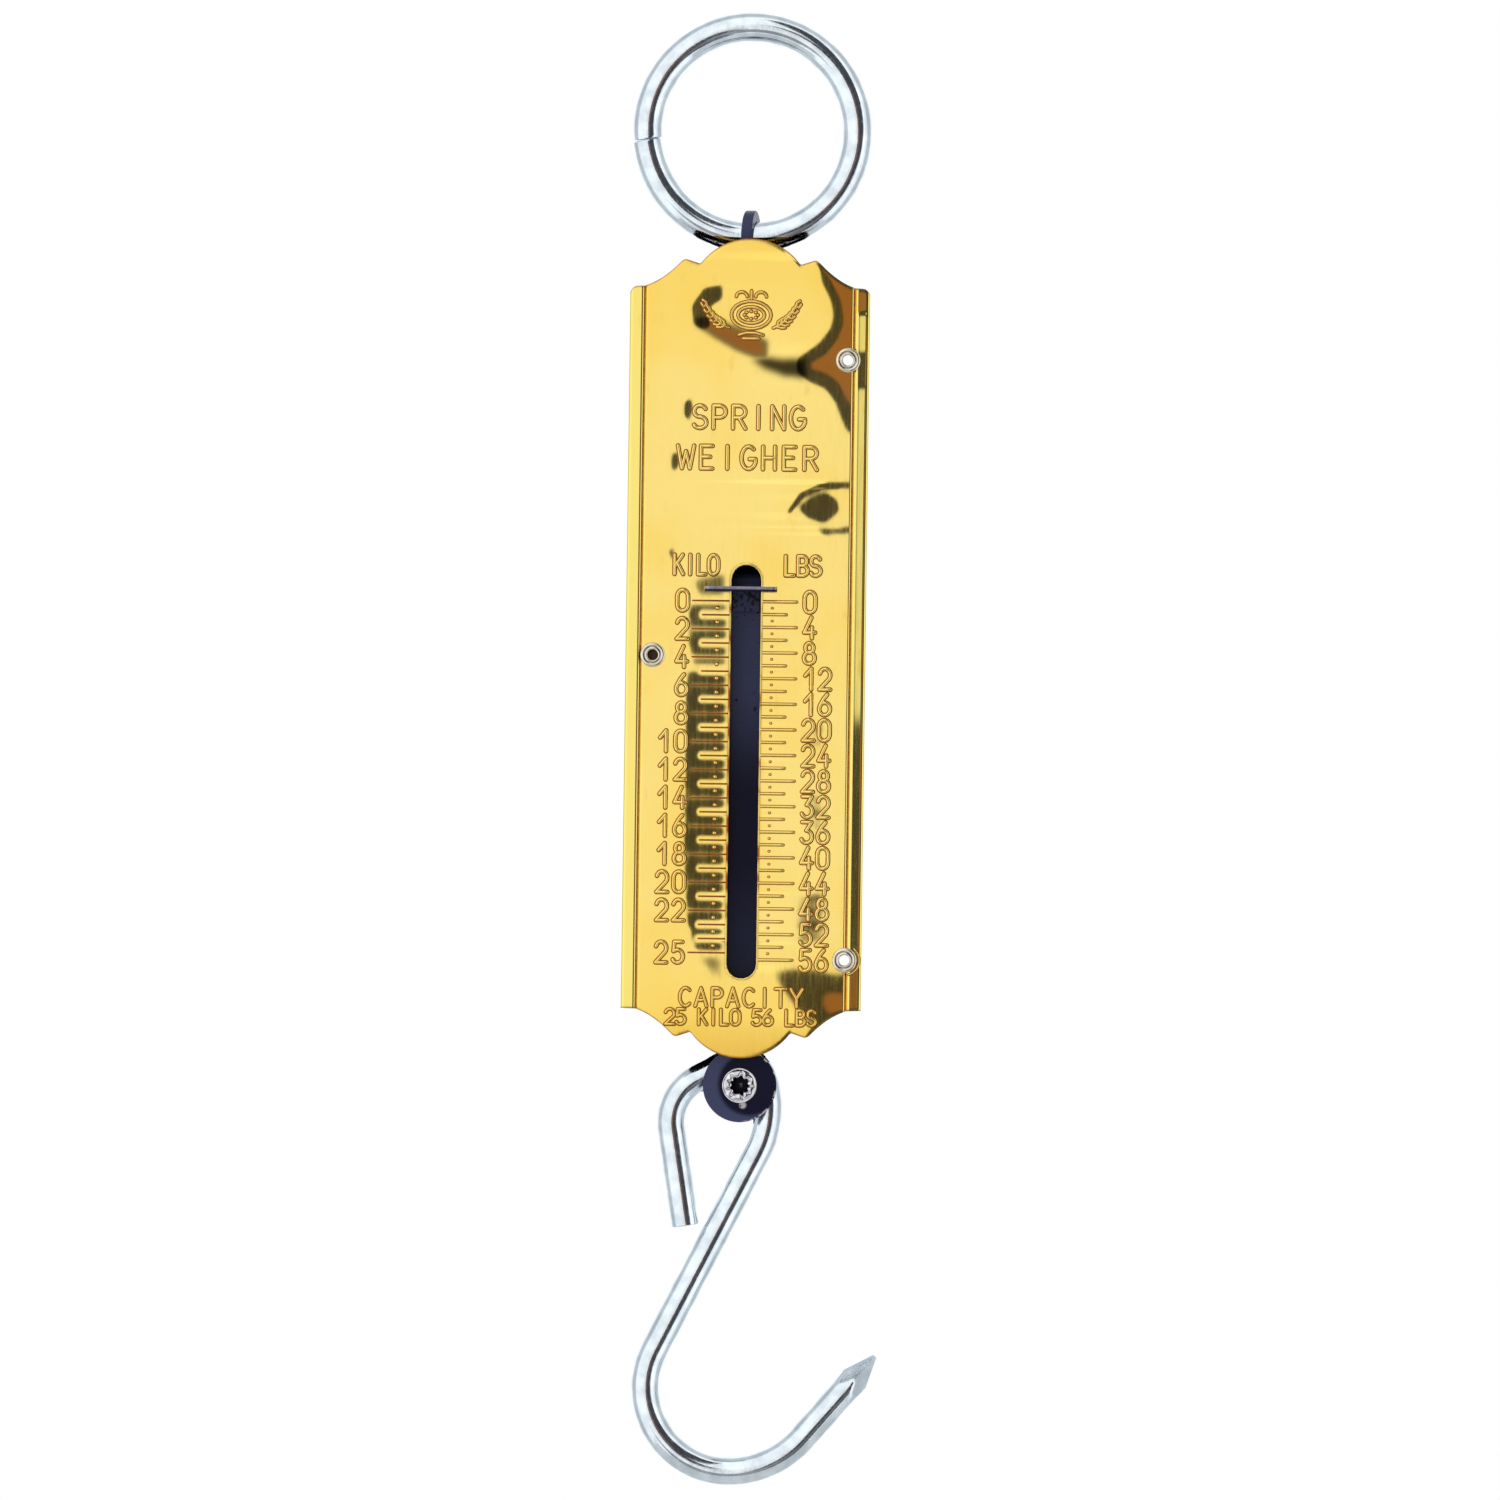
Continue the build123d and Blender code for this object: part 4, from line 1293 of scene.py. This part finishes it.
@dataclass
class Casing:
    """The brass face with its stamping and eyelets, the tinned back, the pins and the springs."""

    sheet: float = 0.4
    hem_corner: float = 0.5
    hem_short: tuple[float, float] = (1.4, 0.9)
    middle: float = -101.15
    even_part: float = 50.0  # rows this near the middle aren't moved to meet the outline
    groove_at: float = 17.4
    groove_width: float = 0.85
    groove_depth: float = 0.3
    slot_width: float = 5.0
    slot_top: float = -87.25
    slot_bottom: float = -156.0
    rows: int = 330
    columns: int = 101
    edge_roll: float = 0.06
    strip_leans: tuple[tuple[float, float, float], ...] = (
        (-45.3, -40.0, 2.2), (-57.5, -52.0, 0.95), (-152.0, -114.0, 0.70), (-162.5, -153.0, 1.3),
    )
    open_eyelets: tuple[tuple[str, Point], ...] = (
        ("upper_right_eyelet", (16.4, -53.1)),
        ("lower_right_eyelet", (17.1, -152.7)),
    )
    blind_rivet: tuple[str, Point] = ("left_rivet", (-15.4, -102.4))
    punch_radius: float = 1.3
    bore_radius: float = 0.86
    coil_radius: float = 4.1
    coil_wire: float = 0.7
    coil_turns: int = 32
    coil_top: float = -49.4
    coil_low: float = -95.8
    loop_degrees: float = 222.0
    spring_places: tuple[tuple[str, float], ...] = (("left_spring", -8.55), ("right_spring", 8.55))

    def __post_init__(self) -> None:
        """Read the face's size from the frame."""
        low, high = (corner * 1000 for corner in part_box("front_plate"))
        self.half = high.x
        self.front = low.y
        self.outline = Outline(self.half, high.z - self.middle)
        self.low, self.high = low.z, high.z
        self.stamping = Stamping(self.front)
        self.relief = Relief(self.low, self.high, DENTS, self.stamping.proud())
        self.stamping.relief = self.relief

    def build(self) -> None:
        """Make and fit every piece of the casing."""
        fit(self.face(), Body.CASING, Slot.BRASS, "front_plate")
        fit(self.slot_lip(), Body.CASING, Slot.BRASS)
        for piece in self.stamping.build():
            fit(piece, Body.CASING, Slot.BRASS)
        for name, place in self.open_eyelets:
            fit(self.eyelet(f"{name}_rolled", place, blind=False), Body.CASING, Slot.NICKEL, name)
        name, place = self.blind_rivet
        fit(self.eyelet(f"{name}_rolled", place, blind=True), Body.CASING, Slot.NICKEL, name)
        for name, x in self.spring_places:
            self.fit_spring(self.spring(f"{name}_coils", x), name)
        back = refined_copy("back_shell", "back_case", 0.08)
        fit(back, Body.CASING, Slot.TINPLATE, "back_shell")
        for node, slot in (
            ("ring_eye", Slot.LACQUER),
            ("anchor_pin", Slot.STEEL),
            ("anchor_sleeves", Slot.STEEL),
            ("lower_guide", Slot.TINPLATE),
            ("guide_rivets", Slot.RIVET),
        ):
            dress(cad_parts[node], slot)

    # -------------------------------------------------------------- the face

    def _section(self) -> np.ndarray:
        """The face's cross-section from one hem to the other, as x, depth and whether it is a hem."""
        r = self.hem_corner
        flat = self.half - r
        groove = self.groove_at
        main = np.linspace(0, groove - 0.55, self.columns // 2 + 1)
        dip = np.linspace(groove - 0.45, groove + 0.45, 9)
        strip = np.linspace(groove + 0.7, flat, 6)
        right = [(x, 0.0, 0) for x in main]
        right += [(x, self._dip(x - groove), 0) for x in dip]
        right += [(x, 0.012 * (x - groove), 0) for x in strip]
        for angle in np.radians(np.linspace(18, 90, 5)):
            right.append((flat + r * math.sin(angle), 0.025 + r * (1 - math.cos(angle)), 0))
        inner = 0.4
        for angle in np.radians(np.linspace(0, 90, 5)):
            right.append((self.half - inner * (1 - math.cos(angle)), 1.1 + inner * math.sin(angle), 1))
        right.append((self.half - 1.2, 1.5, 1))
        table = np.array(right)
        mirrored = table[:0:-1] * np.array([-1, 1, 1])
        return np.vstack([mirrored, table])

    def _dip(self, offset: float) -> float:
        """The groove's depth beside its middle."""
        share = min(abs(offset) / (self.groove_width / 2), 1.0)
        return self.groove_depth * math.cos(share * math.pi / 2) ** 2

    def face(self) -> Object:
        """Press the sheet: outline, grooves, hems and dents, then cut its slot and holes."""
        section = self._section()
        count = len(section)
        bpy.ops.object.select_all(action="DESELECT")
        bpy.ops.mesh.primitive_grid_add(x_subdivisions=count - 1, y_subdivisions=self.rows, size=2)
        sheet = bpy.context.view_layer.objects.active
        sheet.name = "face_sheet"
        grid = corners_of(sheet) / 1000
        column = np.rint((grid[:, 0] + 1) / 2 * (count - 1)).astype(int)
        x, depth, hem = section[column].T
        level = grid[:, 1] * self.outline.crown
        kept = self.even_part
        upper = level > 0
        reach = self.outline.height(x, upper)
        short = self.outline.crown - self.outline.strip_drop - np.where(upper, *self.hem_short)
        end = np.where(hem > 0, np.minimum(short, reach), reach)
        outer = kept + (np.abs(level) - kept) * (end - kept) / (self.outline.crown - kept)
        z = np.where(np.abs(level) < kept, level, np.sign(level) * outer)
        to_edge = end - np.abs(z)
        roll = self.edge_roll * np.exp(-np.maximum(to_edge, 0) / 0.3) * (hem < 1)
        z = z + self.middle
        y = self.front + depth + roll + self.relief.at(x, z) + self._strip_lean(x, z)
        move_corners(sheet, np.column_stack([x, y, z]))
        # Painted reflection and shade: the grooves, the edges and the ground round the slot are marked to
        # be browned.
        in_groove = np.exp(-(((np.abs(x) - self.groove_at) / 0.16) ** 2)) * 0.9
        near_slot = self._near_slot(x, z)
        crevice = np.clip(np.maximum.reduce([in_groove, np.exp(-to_edge / 0.3) * 0.8, near_slot]), 0, 1)
        mark(sheet, "crevice", crevice)
        # Painted reflection: mark how strongly each place is painted olive and amber.
        for name, tone in self.relief.tones.items():
            mark(sheet, name, self.relief.read(tone, x, z))
        with editing(sheet):
            bpy.ops.mesh.normals_make_consistent(inside=False)
        if sum(p.normal.y for p in list(sheet.data.polygons)[::97]) > 0:
            sheet.data.flip_normals()
        apply_modifier(sheet, "SOLIDIFY", thickness=mm(self.sheet), offset=-1.0, use_even_offset=False)
        cutter = self._cutter()
        apply_modifier(sheet, "BOOLEAN", object=cutter, operation="DIFFERENCE", solver="MANIFOLD")
        bpy.data.objects.remove(cutter)
        return shade(sheet, 30)

    def _strip_lean(self, x: np.ndarray, z: np.ndarray) -> np.ndarray:
        """How far the right strip leans back at each place, where stamping bent it."""
        along = np.clip(x - 17.7, 0, 1.9)
        lean = np.zeros_like(z)
        for low, high, amount in self.strip_leans:
            soft = (high - low) / 5
            rise = np.clip((z - low) / soft + 0.5, 0, 1) * np.clip((high - z) / soft + 0.5, 0, 1)
            lean = np.maximum(lean, amount * rise * rise * (3 - 2 * rise))
        return along * lean * Relief.LEAN

    def _near_slot(self, x: np.ndarray, z: np.ndarray) -> np.ndarray:
        """How near each place is to the slot's edge, from 0 to 1."""
        half = self.slot_width / 2
        inside = np.clip(z, self.slot_bottom + half, self.slot_top - half)
        gap = np.hypot(x, z - inside) - half
        return np.exp(-np.maximum(gap - 0.3, 0) / 0.15) * 0.45

    def _cutter(self) -> Object:
        """The punches for the slot and the three eyelet holes."""
        half = self.slot_width / 2
        punches = []
        places = [(*place, self.punch_radius) for _, place in (*self.open_eyelets, self.blind_rivet)]
        places.append((0.0, self.slot_top - half, half))
        for x, z, radius in places:
            bpy.ops.object.select_all(action="DESELECT")
            bpy.ops.mesh.primitive_cylinder_add(
                vertices=64, radius=mm(radius), depth=mm(6), location=(mm(x), mm(self.front), mm(z)),
                rotation=(math.pi / 2, 0, 0),
            )
            punches.append(settle(bpy.context.view_layer.objects.active))
        slot = punches[-1]
        with editing(slot, everything=False):
            bpy.ops.object.mode_set(mode="OBJECT")
            for vertex in slot.data.vertices:
                vertex.select = vertex.co.z < mm(self.slot_top - half - 0.001)
            bpy.ops.object.mode_set(mode="EDIT")
            drop = self.slot_bottom + half - (self.slot_top - half)
            bpy.ops.transform.translate(value=(0, 0, mm(drop)))
        return join("punches", punches)

    def slot_lip(self) -> Object:
        """The thin lip that the punch raised round the slot."""
        half = self.slot_width / 2 + 0.1
        top, low = self.slot_top - half + 0.1, self.slot_bottom + half - 0.1
        loop = arc(0, top, half, half, 0, 180) + arc(0, low, half, half, 180, 360)
        length = top - low
        steps = 40
        left = [(-half, top - length * i / steps) for i in range(1, steps)]
        right = [(half, low + length * i / steps) for i in range(1, steps)]
        turn = len(loop) // 2
        loop = loop[:turn] + left + loop[turn:] + right
        x, z = np.array(loop).T
        y = self.front + self.relief.at(x, z) - 0.02
        lip = wire("slot_lip", [np.column_stack([x, y, z, np.ones_like(x)])], 0.18, 12, closed=True)
        places = corners_of(lip)
        depth = places[:, 1] - self.front
        # Painted shade: the lip's back, where it meets the sheet, is marked to be browned.
        mark(lip, "crevice", np.clip(1 + depth / 0.1, 0, 1))
        return lip

    # -------------------------------------------------------------- eyelets and springs

    def eyelet(self, name: str, place: Point, blind: bool) -> Object:
        """Roll a tubular eyelet over the sheet, open or closed at its back."""
        face = self.front
        bore = self.bore_radius
        loop = [
            (2.02, -0.02), (2.05, -0.16), (1.96, -0.30), (1.75, -0.38), (1.52, -0.36),
            (1.38, -0.30), (1.28, -0.34), (1.16, -0.40), (1.02, -0.40), (0.92, -0.33),
            (bore, -0.20), (bore, 0.4), (bore, 0.95),
        ]
        if blind:
            loop += [(bore, 1.0), (0.0, 1.0), (0.0, 1.35), (1.2, 1.35), (1.25, 0.9)]
        else:
            loop += [(1.0, 1.15), (1.3, 1.3), (1.5, 1.2), (1.45, 1.05), (1.25, 0.98)]
        loop += [(1.25, 0.1), (1.3, -0.02)]
        piece = lathe(name, [(radius, face + y) for radius, y in loop], place)
        places = corners_of(piece)
        radius = np.hypot(places[:, 0] - place[0], places[:, 2] - place[1])
        depth = places[:, 1] - face
        # Painted shade: the crimp's fold, the rim against the sheet and the bore are marked to be darkened.
        foot = np.exp(-(((radius - 1.34) / 0.09) ** 2)) + np.exp(-((2.05 - radius) / 0.06)) * (depth > -0.2)
        inside = (radius < bore + 0.02) * np.clip(0.5 + depth, 0, 1)
        mark(piece, "crevice", np.clip(foot * 0.8 + inside, 0, 1))
        return piece

    def spring(self, name: str, x: float) -> Object:
        """Wind an extension spring with a loop at each end."""
        radius, turns = self.coil_radius, self.coil_turns
        top, low = self.coil_top, self.coil_low
        per_turn = 24
        angles = np.linspace(0, math.tau * turns, turns * per_turn + 1)
        coil = np.column_stack(
            [x - radius * np.sin(angles), radius * np.cos(angles), np.linspace(low, top, len(angles))]
        )
        reach = math.radians(self.loop_degrees)
        upper, lower = [], []
        for angle in np.linspace(0.35, reach, 16):
            upper.append((x, radius * math.cos(angle), top + radius + radius * math.sin(angle)))
            lower.append((x, radius * math.cos(angle), low - radius - radius * math.sin(angle)))
        rise = [(x - 0.35, radius, top + 1.4), (x, radius, top + 3.2)]
        fall = [(x, radius, low - 3.2), (x + 0.35, radius, low - 1.4)]
        rows = np.vstack([np.array(lower[::-1] + fall), coil, np.array(rise + upper)])
        return wire(name, [np.column_stack([rows, np.ones(len(rows))])], self.coil_wire, 10)

    def fit_spring(self, piece: Object, node: str) -> None:
        """Dress a spring, hide its CAD node and bake its place into its mesh."""
        dress(piece, Slot.SPRING)
        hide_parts(node)
        top, low = (0, 0, mm(self.coil_top)), (0, 0, mm(self.coil_low))
        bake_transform(piece)
        log.info("%s: %d faces between casing and draw", piece.name, len(piece.data.polygons))


@dataclass
class HangingRing:
    """The wire ring that the scale hangs from, closed with a butt joint."""

    wire_radius: float = 2.45
    radius: float = 17.495
    joint_angle: float = 185.0
    joint_gap: float = 0.55
    step: float = 2.0

    def build(self) -> None:
        """Bend and fit the ring."""
        centre = self.wire_radius - self.radius
        start, stop = self.joint_angle + self.joint_gap / 2, self.joint_angle + 360 - self.joint_gap / 2
        inner = list(np.arange(start + 1.2, stop - 1.2, self.step))
        angles = [start, start + 0.25, start + 0.6, *inner, stop - 0.6, stop - 0.25, stop]
        rows = []
        for angle in angles:
            edge = min(angle - start, stop - angle)
            share = 1.0 if edge > 0.5 else (0.985 if edge > 0.1 else 0.93)
            lift = 0.14 * math.exp(-((angle - start) / 5.0)) - 0.10 * math.exp(-((stop - angle) / 5.0))
            turn, reach = math.radians(angle), self.radius + lift
            rows.append((reach * math.cos(turn), 0.0, centre + reach * math.sin(turn), share))
        ring = wire("bent_ring", [np.array(rows)], self.wire_radius, 40)
        fit(ring, Body.RING, Slot.WIRE, "suspension_ring")


@dataclass
class Draw:
    """The draw strap with its pointer and the hook rivet."""

    rivet_z: float = -173.8
    strap_face: float = -3.9
    petals: int = 9

    def build(self) -> None:
        """Fit the strap, the pointer and the rivet."""
        fit(refined_copy("draw_strap", "draw_strap_lacquered", 0.14), Body.DRAW, Slot.LACQUER, "draw_strap")
        fit(refined_copy("pointer", "pointer_blade", 0.22), Body.DRAW, Slot.POINTER, "pointer")
        fit(self.rivet(), Body.DRAW, Slot.RIVET, "hook_rivet")
        for node, slot in (
            ("saddle_block", Slot.STEEL),
            ("cross_pin", Slot.STEEL),
            ("cross_sleeves", Slot.STEEL),
            ("pointer_rivets", Slot.POINTER),
        ):
            dress(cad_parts[node], slot)

    def rivet(self) -> Object:
        """Turn the tubular rivet, then crimp its mouth into petals."""
        face = self.strap_face
        loop = [
            (0.0, -0.5), (1.25, -0.5), (1.3, -0.8), (1.3, face + 0.5), (1.3, face + 0.15),
            (1.34, face - 0.15), (1.45, face - 0.38), (1.68, face - 0.54), (2.0, face - 0.59),
            (2.3, face - 0.52), (2.52, face - 0.38), (2.64, face - 0.28), (2.76, face - 0.30),
            (2.88, face - 0.28), (2.95, face - 0.18), (2.95, face - 0.01),
            (1.7, face - 0.01), (1.7, -face + 0.01), (2.8, -face + 0.01), (2.95, -face + 0.15),
            (2.8, -face + 0.45), (2.3, -face + 0.6), (0.0, -face + 0.6),
        ]
        piece = lathe("hook_rivet_crimped", loop, (0.0, self.rivet_z), 144)
        places = corners_of(piece)
        x, z = places[:, 0], places[:, 2] - self.rivet_z
        radius, turn = np.hypot(x, z), np.arctan2(z, x)
        wobble = turn + 0.10 * np.sin(2 * turn + 0.7) + 0.05 * np.sin(5 * turn)
        crease = np.abs(np.cos(self.petals * wobble / 2)) ** 4
        mouth = np.clip((face + 0.3 - places[:, 1]) / 0.4, 0, 1) * np.clip((2.6 - radius) / 0.9, 0, 1)
        pull = 1 + mouth * (0.22 * crease - 0.06)
        places[:, 0] *= pull
        places[:, 2] = self.rivet_z + z * pull
        places[:, 1] += mouth * (0.30 * crease + 0.08 * np.sin(3 * turn + 1.0))
        # Painted shade: the rivet's bore is marked to be darkened near black.
        mark(piece, "crevice", np.clip((1.36 - radius) / 0.06, 0, 1) * (places[:, 1] < 1))
        move_corners(piece, places)
        return shade(piece, 50)


@dataclass
class WireHook:
    """The hook: an eye round the rivet, a cut tail, a long shank and a ground point."""

    wire_radius: float = 2.35
    eye_radius: float = 4.1
    rivet_z: float = -173.8
    tail: tuple[Bend, ...] = ((4.1, 27.5, 5.7), (8.2, 71.5, 16.2))
    shank: tuple[Bend, ...] = (
        (4.1, -69.9, 0.0), (15.9, -46.9, 37.0), (13.9, 116.8, 0.0), (16.4, 49.2, 10.7),
    )
    point: float = 7.48
    tip: float = 0.25
    facet_turn: float = 45.0
    rings: int = 24

    @staticmethod
    def _lay(start: Vector, heading: float, steps: Sequence[Bend]) -> tuple[list[Vector], float]:
        """Lay bends and straights end to end.

        Args:
            start: where the wire begins.
            heading: the way it runs, in degrees from +X towards +Z.
            steps: radius, turn in degrees (positive to the left) and the straight after it.

        Returns:
            The points of the line and the heading at its end.
        """
        line = [start.copy()]
        for radius, turn, straight in steps:
            side = math.copysign(1, turn)
            normal = math.radians(heading + 90 * side)
            centre = line[-1] + radius * Vector((math.cos(normal), 0, math.sin(normal)))
            count = max(3, round(abs(turn) / 3))
            for i in range(1, count + 1):
                angle = normal + math.pi + math.radians(turn * i / count)
                line.append(centre + radius * Vector((math.cos(angle), 0, math.sin(angle))))
            heading += turn
            way = Vector((math.cos(math.radians(heading)), 0, math.sin(math.radians(heading))))
            pieces = max(1, round(straight / 1.5)) if straight else 0
            last = line[-1].copy()
            line += [last + way * straight * i / pieces for i in range(1, pieces + 1)]
        return line, heading

    def build(self) -> None:
        """Bend the wire, grind its point and fit it."""
        crown = Vector((0, 0, self.rivet_z + self.eye_radius))
        tail, _ = self._lay(crown, 180.0, self.tail)
        shank, heading = self._lay(crown, 0.0, self.shank)
        way = Vector((math.cos(math.radians(heading)), 0, math.sin(math.radians(heading))))
        base = shank[-1].copy()
        shank += [base + way * self.point * i / self.rings for i in range(1, self.rings + 1)]
        line = [(*p, 1.0) for p in tail[:0:-1]] + [(*p, 1.0) for p in shank]
        cut = Vector(line[0][:3])
        back = (cut - Vector(line[1][:3])).normalized()
        line[0] = (*(cut - back * 0.12), 1.0)
        line.insert(0, (*cut, 0.95))
        hook = wire("bent_hook", [np.array(line)], self.wire_radius, 36)
        self._grind(hook, base, way)
        fit(shade(hook, 32), Body.HOOK, Slot.WIRE, "hook")

    def _grind(self, hook: Object, base: Vector, way: Vector) -> None:
        """Grind four flats towards the tip."""
        places = corners_of(hook)
        across, up = np.array((0.0, 1.0, 0.0)), np.array(way.cross(Vector((0, 1, 0))))
        offset = places - np.array(base)
        ahead = offset @ np.array(way)
        side, rise = offset @ across, offset @ up
        turn = np.arctan2(rise, side) - math.radians(self.facet_turn)
        reach = np.maximum(np.abs(np.cos(turn)), np.abs(np.sin(turn)))
        left = self.tip + (self.wire_radius - self.tip) * (1 - ahead / self.point)
        wide = np.maximum(np.hypot(side, rise), 0.001)
        on_point = (ahead > 0) & (wide < self.wire_radius + 0.1)
        shrink = np.where(on_point, np.minimum(1, left / reach / wide), 1)[:, None]
        core = places - side[:, None] * across - rise[:, None] * up
        move_corners(hook, core + (places - core) * shrink)
        weld(hook)


@dataclass
class Studio:
    """Soft white light all round, a dark screen beside the camera, a pale floor and the camera."""

    distance: float = 1600.0
    frame_width: float = 250.0
    aim: Point = (0.97, -118.0)
    lean: float = 0.775
    floor_z: float = -900.0
    floor_size: float = 1600.0

    def build(self) -> None:
        """Set up the light, the floor and the camera."""
        self._light()
        self._floor()
        self._camera()

    def _light(self) -> None:
        """White walls of light all round, and darker things near the camera for the metal to mirror."""
        world = bpy.data.worlds.new("white_studio")
        world.use_nodes = True
        bpy.context.scene.world = world
        tree = Tree(world.node_tree)
        way = tree.add("ShaderNodeTexCoord", output="Generated")
        x, y, z = (tree.add("ShaderNodeSeparateXYZ", {}, {"Vector": way}, axis) for axis in "XYZ")
        ahead = tree.maths("MAXIMUM", 0 - y, 0.02)
        u, v = x / ahead, z / ahead
        facing = (0 - y).step(0.02, 0.15)
        near = u.step(0.030, 0.062) * u.step(0.30, 0.24) * v.window(-0.38, 0.38, 0.06)
        reach = u - v.step(-0.5, 0.6) * 0.55
        far = u.step(0.20, 0.26) * reach.step(0.80, 0.66) * v.window(-1.3, 2.4, 0.2)
        screen = tree.maths("MAXIMUM", near, far) * facing
        heart = u.window(0.125, 0.235, 0.015) * v.window(-0.13, 0.13, 0.05)
        lamp = u.window(1.25, 1.9, 0.1) * v.window(-1.0, 1.0, 0.3) * facing
        table = u.window(-0.5, 0.5, 0.10) * v.window(-0.95, -0.34, 0.05) * facing
        wall = y.window(-0.12, 0.62, 0.14)
        soft = tree.mix((0 - y).step(0.995, 0.95), rgb(1.0, 1.0, 1.0), rgb(1.08, 1.12, 1.15))
        soft = tree.mix(wall * 0.75, soft, rgb(0.42, 0.46, 0.50))
        soft = tree.mix(lamp, soft, rgb(1.35, 1.35, 1.35))
        warm = tree.mix(heart, rgb(0.060, 0.064, 0.078), rgb(0.33, 0.165, 0.10))
        seen = tree.mix(screen, soft, warm)
        seen = tree.mix(table * 0.85, seen, rgb(0.20, 0.21, 0.23))
        direct = tree.add("ShaderNodeLightPath", output="Is Camera Ray")
        colour = tree.mix(direct, seen, rgb(1, 1, 1))
        light = tree.add("ShaderNodeBackground", {}, {"Color": colour, "Strength": 1.0})
        tree.add("ShaderNodeOutputWorld", {}, {"Surface": light})
        bpy.context.scene.view_settings.view_transform = "Standard"

    def _floor(self) -> None:
        """Lay the pale floor under the lowest reach of the hook."""
        bpy.ops.object.select_all(action="DESELECT")
        bpy.ops.mesh.primitive_plane_add(size=mm(self.floor_size), location=(0, 0, mm(self.floor_z)))
        floor = settle(bpy.context.view_layer.objects.active)
        floor.name = "floor"
        floor.data.materials.append(material_of(Paper()))

    def _camera(self) -> None:
        """Aim a long lens at the face from in front."""
        data = bpy.data.cameras.new("camera")
        camera = bpy.data.objects.new("camera", data)
        bpy.context.collection.objects.link(camera)
        data.lens = data.sensor_width * self.distance / self.frame_width
        data.clip_start, data.clip_end = 0.1, 20.0
        x, z = self.aim
        camera.matrix_world = (
            Matrix.Translation((mm(x), mm(-self.distance), mm(z)))
            @ Matrix.Rotation(math.radians(-self.lean), 4, "Y")
            @ Matrix.Rotation(math.pi / 2, 4, "X")
        )
        bpy.context.scene.camera = camera


def write_sizes() -> None:
    """Bring the scene's transforms up to date."""
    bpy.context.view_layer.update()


def main() -> None:
    """Build the scale from the top down, then the studio."""
    logging.basicConfig(level=logging.INFO, format="%(name)s: %(message)s")
    for part in (HangingRing(), Casing(), Draw(), WireHook(), Studio()):
        part.build()
    write_sizes()


if __name__ == "__main__":
    main()
